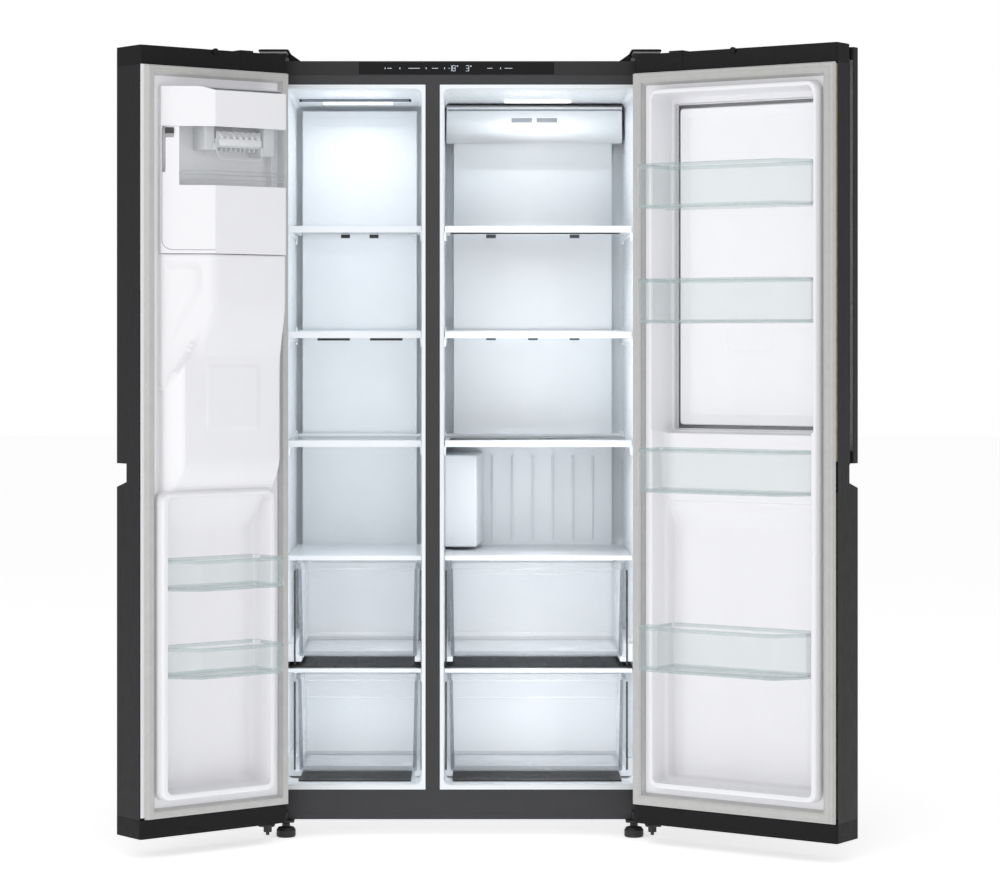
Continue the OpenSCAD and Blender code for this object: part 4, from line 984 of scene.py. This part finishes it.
# Each grille piece has rows of vents: their middles, half of their width, Y, heights and bars
VENTS = (
    ("freezer_vent_grilles", "latch_plastic", None, (
        ((-281, -211), 11, DUCT_Y, (1384, 1393), 4),
        ((-310, -181), 40, DUCT_Y, (1133, 1141), 14))),
    ("fridge_vent_grilles", "fan_plastic", "vent_grey", (
        ((76, 281), 12, DUCT_Y, (1384, 1393), 4),
        ((76, 179, 281), 12, DUCT_Y, (1134, 1144), 4))),
    ("fridge_box_grilles", "fan_plastic", "box_grey", (
        ((150, 211), 25, DUCT_TOP_Y - 1.5, (1662, 1673), 9),
        ((100, 263), 35, DUCT_Y - 1.5, (872, 881), 12))))


def grille(form, x, y, z, bars):
    """A dark insert that closes a vent, with upright bars across it."""
    form.block(x, (y + 3, y + 5), z, 0.3)
    for k in range(bars):
        bx = x[0] + (x[1] - x[0]) * (k + 0.5) / bars
        form.block((bx - 0.8, bx + 0.8), (y + 1.4, y + 3.6), z, 0.3)


for name, slot, look, rows in VENTS:
    form = Form()
    for middles, half, face_y, z, bars in rows:
        for middle in middles:
            grille(form, (middle - half, middle + half), face_y, z, bars)
    form.piece(name, "cabinet", slot, look=look)

# Display: the bars of each figure, the figures' places and widths, then the degree rings, dashes
# and dividers
SEGMENTS = {"-": "g", "1": "bc", "8": "abcdefg", "3": "abcdg"}
FIGURE_H = 13
FIGURES = (("-", -26.5, 3.5), ("1", -23, 4), ("8", -17.5, 7), ("3", 13.5, 7))
DEGREES = (-7.5, 23)
DASHES = ((-166, 10), (-118, 26), (-64, 14), (62, 12), (102, 18))
DIVIDERS = (-172, -138, -78, -36, 92)
_, dy, dz = box_mm("display_panel")
mark_y = (dy[0] - 0.12, dy[0] + 0.2)


def digit(form, mark, x, z, w, h):
    """One seven-bar figure, its lower left corner at x and z."""
    t = 0.9
    half = z + h / 2
    spots = {"a": (x, x + w, z + h - t, z + h), "g": (x, x + w, half - t / 2, half + t / 2),
             "d": (x, x + w, z, z + t), "f": (x, x + t, half, z + h), "e": (x, x + t, z, half),
             "b": (x + w - t, x + w, half, z + h), "c": (x + w - t, x + w, z, half)}
    for bar in SEGMENTS[mark]:
        a, b, c, d = spots[bar]
        form.block((a, b), mark_y, (c, d), 0.05, 1)


form = Form()
middle_z = (dz[0] + dz[1]) / 2
for mark, mark_x, w in FIGURES:
    digit(form, mark, mark_x, middle_z - FIGURE_H / 2, w, FIGURE_H)
for mark_x in DEGREES:
    form.ring((mark_x, mark_x + 3), (middle_z + 3.5, middle_z + 6.5),
              [(0, mark_y[0]), (0.7, mark_y[0]), (0.7, mark_y[1]), (0, mark_y[1])])
for mark_x, w in DASHES:
    form.block((mark_x, mark_x + w), mark_y, (middle_z - 0.5, middle_z + 0.5), 0.05, 1)
for mark_x in DIVIDERS:
    form.block((mark_x, mark_x + 1.4), mark_y, (middle_z - 2, middle_z + 2), 0.05, 1)
form.piece("display_figures", "cabinet", "display_face", look="display_marks")


# ---------------------------------------------------------------- view, light and floor

scene = bpy.context.scene
scene.view_settings.view_transform = "Standard"
scene.view_settings.look = "None"

CAMERA_Y = -6.88
CAMERA_Z = 1.122
camera = bpy.data.cameras.new("camera")
camera.lens = 108.36
camera.sensor_width = 36
camera.shift_x = 0.04
camera.shift_y = -0.0985
view = bpy.data.objects.new("camera", camera)
view.location = (0, CAMERA_Y, CAMERA_Z)
view.rotation_euler = (math.radians(90), 0, 0)
scene.collection.objects.link(view)
scene.camera = view

# The background is plain white, and lights the object more softly than it shows
world = bpy.data.worlds.new("studio")
world.use_nodes = True
tree = world.node_tree
seen = tree.nodes.new("ShaderNodeLightPath")
strength = tree.nodes.new("ShaderNodeMapRange")
strength.inputs["To Min"].default_value = 0.40
strength.inputs["To Max"].default_value = 1.0
tree.links.new(seen.outputs["Is Camera Ray"], strength.inputs["Value"])
tree.nodes["Background"].inputs[0].default_value = (1, 1, 1, 1)
tree.links.new(strength.outputs["Result"], tree.nodes["Background"].inputs[1])
scene.world = world


def area_light(name, place, aim, size, watts, colour=(1, 1, 1), gloss=1.0):
    data = bpy.data.lights.new(name, "AREA")
    data.shape = "RECTANGLE"
    data.size, data.size_y = size
    data.energy = watts
    data.color = colour
    data.specular_factor = gloss
    lamp = bpy.data.objects.new(name, data)
    lamp.location = place
    lamp.rotation_euler = (Vector(aim) - Vector(place)).to_track_quat("-Z", "Y").to_euler()
    lamp.visible_camera = False
    scene.collection.objects.link(lamp)


def point_light(name, place, watts, colour=(1, 1, 1)):
    data = bpy.data.lights.new(name, "POINT")
    data.shadow_soft_size = 0.05
    data.energy = watts
    data.color = colour
    data.specular_factor = 0
    lamp = bpy.data.objects.new(name, data)
    lamp.location = place
    lamp.visible_camera = False
    scene.collection.objects.link(lamp)


# Soft boxes round the object, then the ceiling lamps, a soft fill in each compartment, and small
# lights down each compartment: height, depth and share
COOL = (.965, .985, 1)
FREEZER_MID = -.246
FRIDGE_MID = .18
DRAWERS_TOP = .6
area_light("softbox_top", (0, -2.2, 4.2), (0, -.2, .9), (4, 3), 20)
area_light("softbox_left", (-3.2, -2.6, 1.8), (0, 0, 1), (2, 3), 40)
area_light("softbox_right", (3.4, -2.2, 1.8), (0, 0, 1), (2, 3), 18)
area_light("softbox_front", (-.4, -5.2, 2.0), (0, 0, 1), (3, 2), 30, gloss=.15)
area_light("freezer_lamp", (FREEZER_MID, .39, 1.69), (FREEZER_MID, .25, .9), (.16, .02), .25,
           COOL)
area_light("fridge_lamp", (.186, .34, 1.69), (.186, .25, .9), (.16, .02), .35, COOL)
area_light("freezer_fill", (FREEZER_MID, .03, .9), (FREEZER_MID, .5, .9), (.28, 1.5), .42, COOL)
area_light("fridge_fill", (FRIDGE_MID, .03, .9), (FRIDGE_MID, .5, .9), (.4, 1.5), 1.3, COOL)
ROOMS = ((1.53, .22, .9), (1.27, .2, 1), (1.02, .2, .95), (.77, .2, 1), (.52, .15, 1.8),
         (.26, .13, 1.4))
for level, (room_z, room_y, share) in enumerate(ROOMS):
    above = room_z > DRAWERS_TOP
    point_light(f"freezer_room_{level}", (FREEZER_MID, room_y, room_z),
                .16 * share * (1 if above else 2), COOL)
    point_light(f"fridge_room_{level}", (FRIDGE_MID, room_y, room_z),
                .42 * share * (1 if above else .7), COOL)

floor_mesh = bpy.data.meshes.new("floor")
floor_mesh.from_pydata([(-30, -12, 0), (30, -12, 0), (30, 30, 0), (-30, 30, 0)], [], [(0, 1, 2, 3)])
floor_mesh.materials.append(finish("floor", (.92, .92, .92), .8, specular=.1, mottle=.004,
                                   glow=.66))
floor = bpy.data.objects.new("floor", floor_mesh)
floor.location.z = -0.0005
scene.collection.objects.link(floor)

bpy.context.view_layer.update()
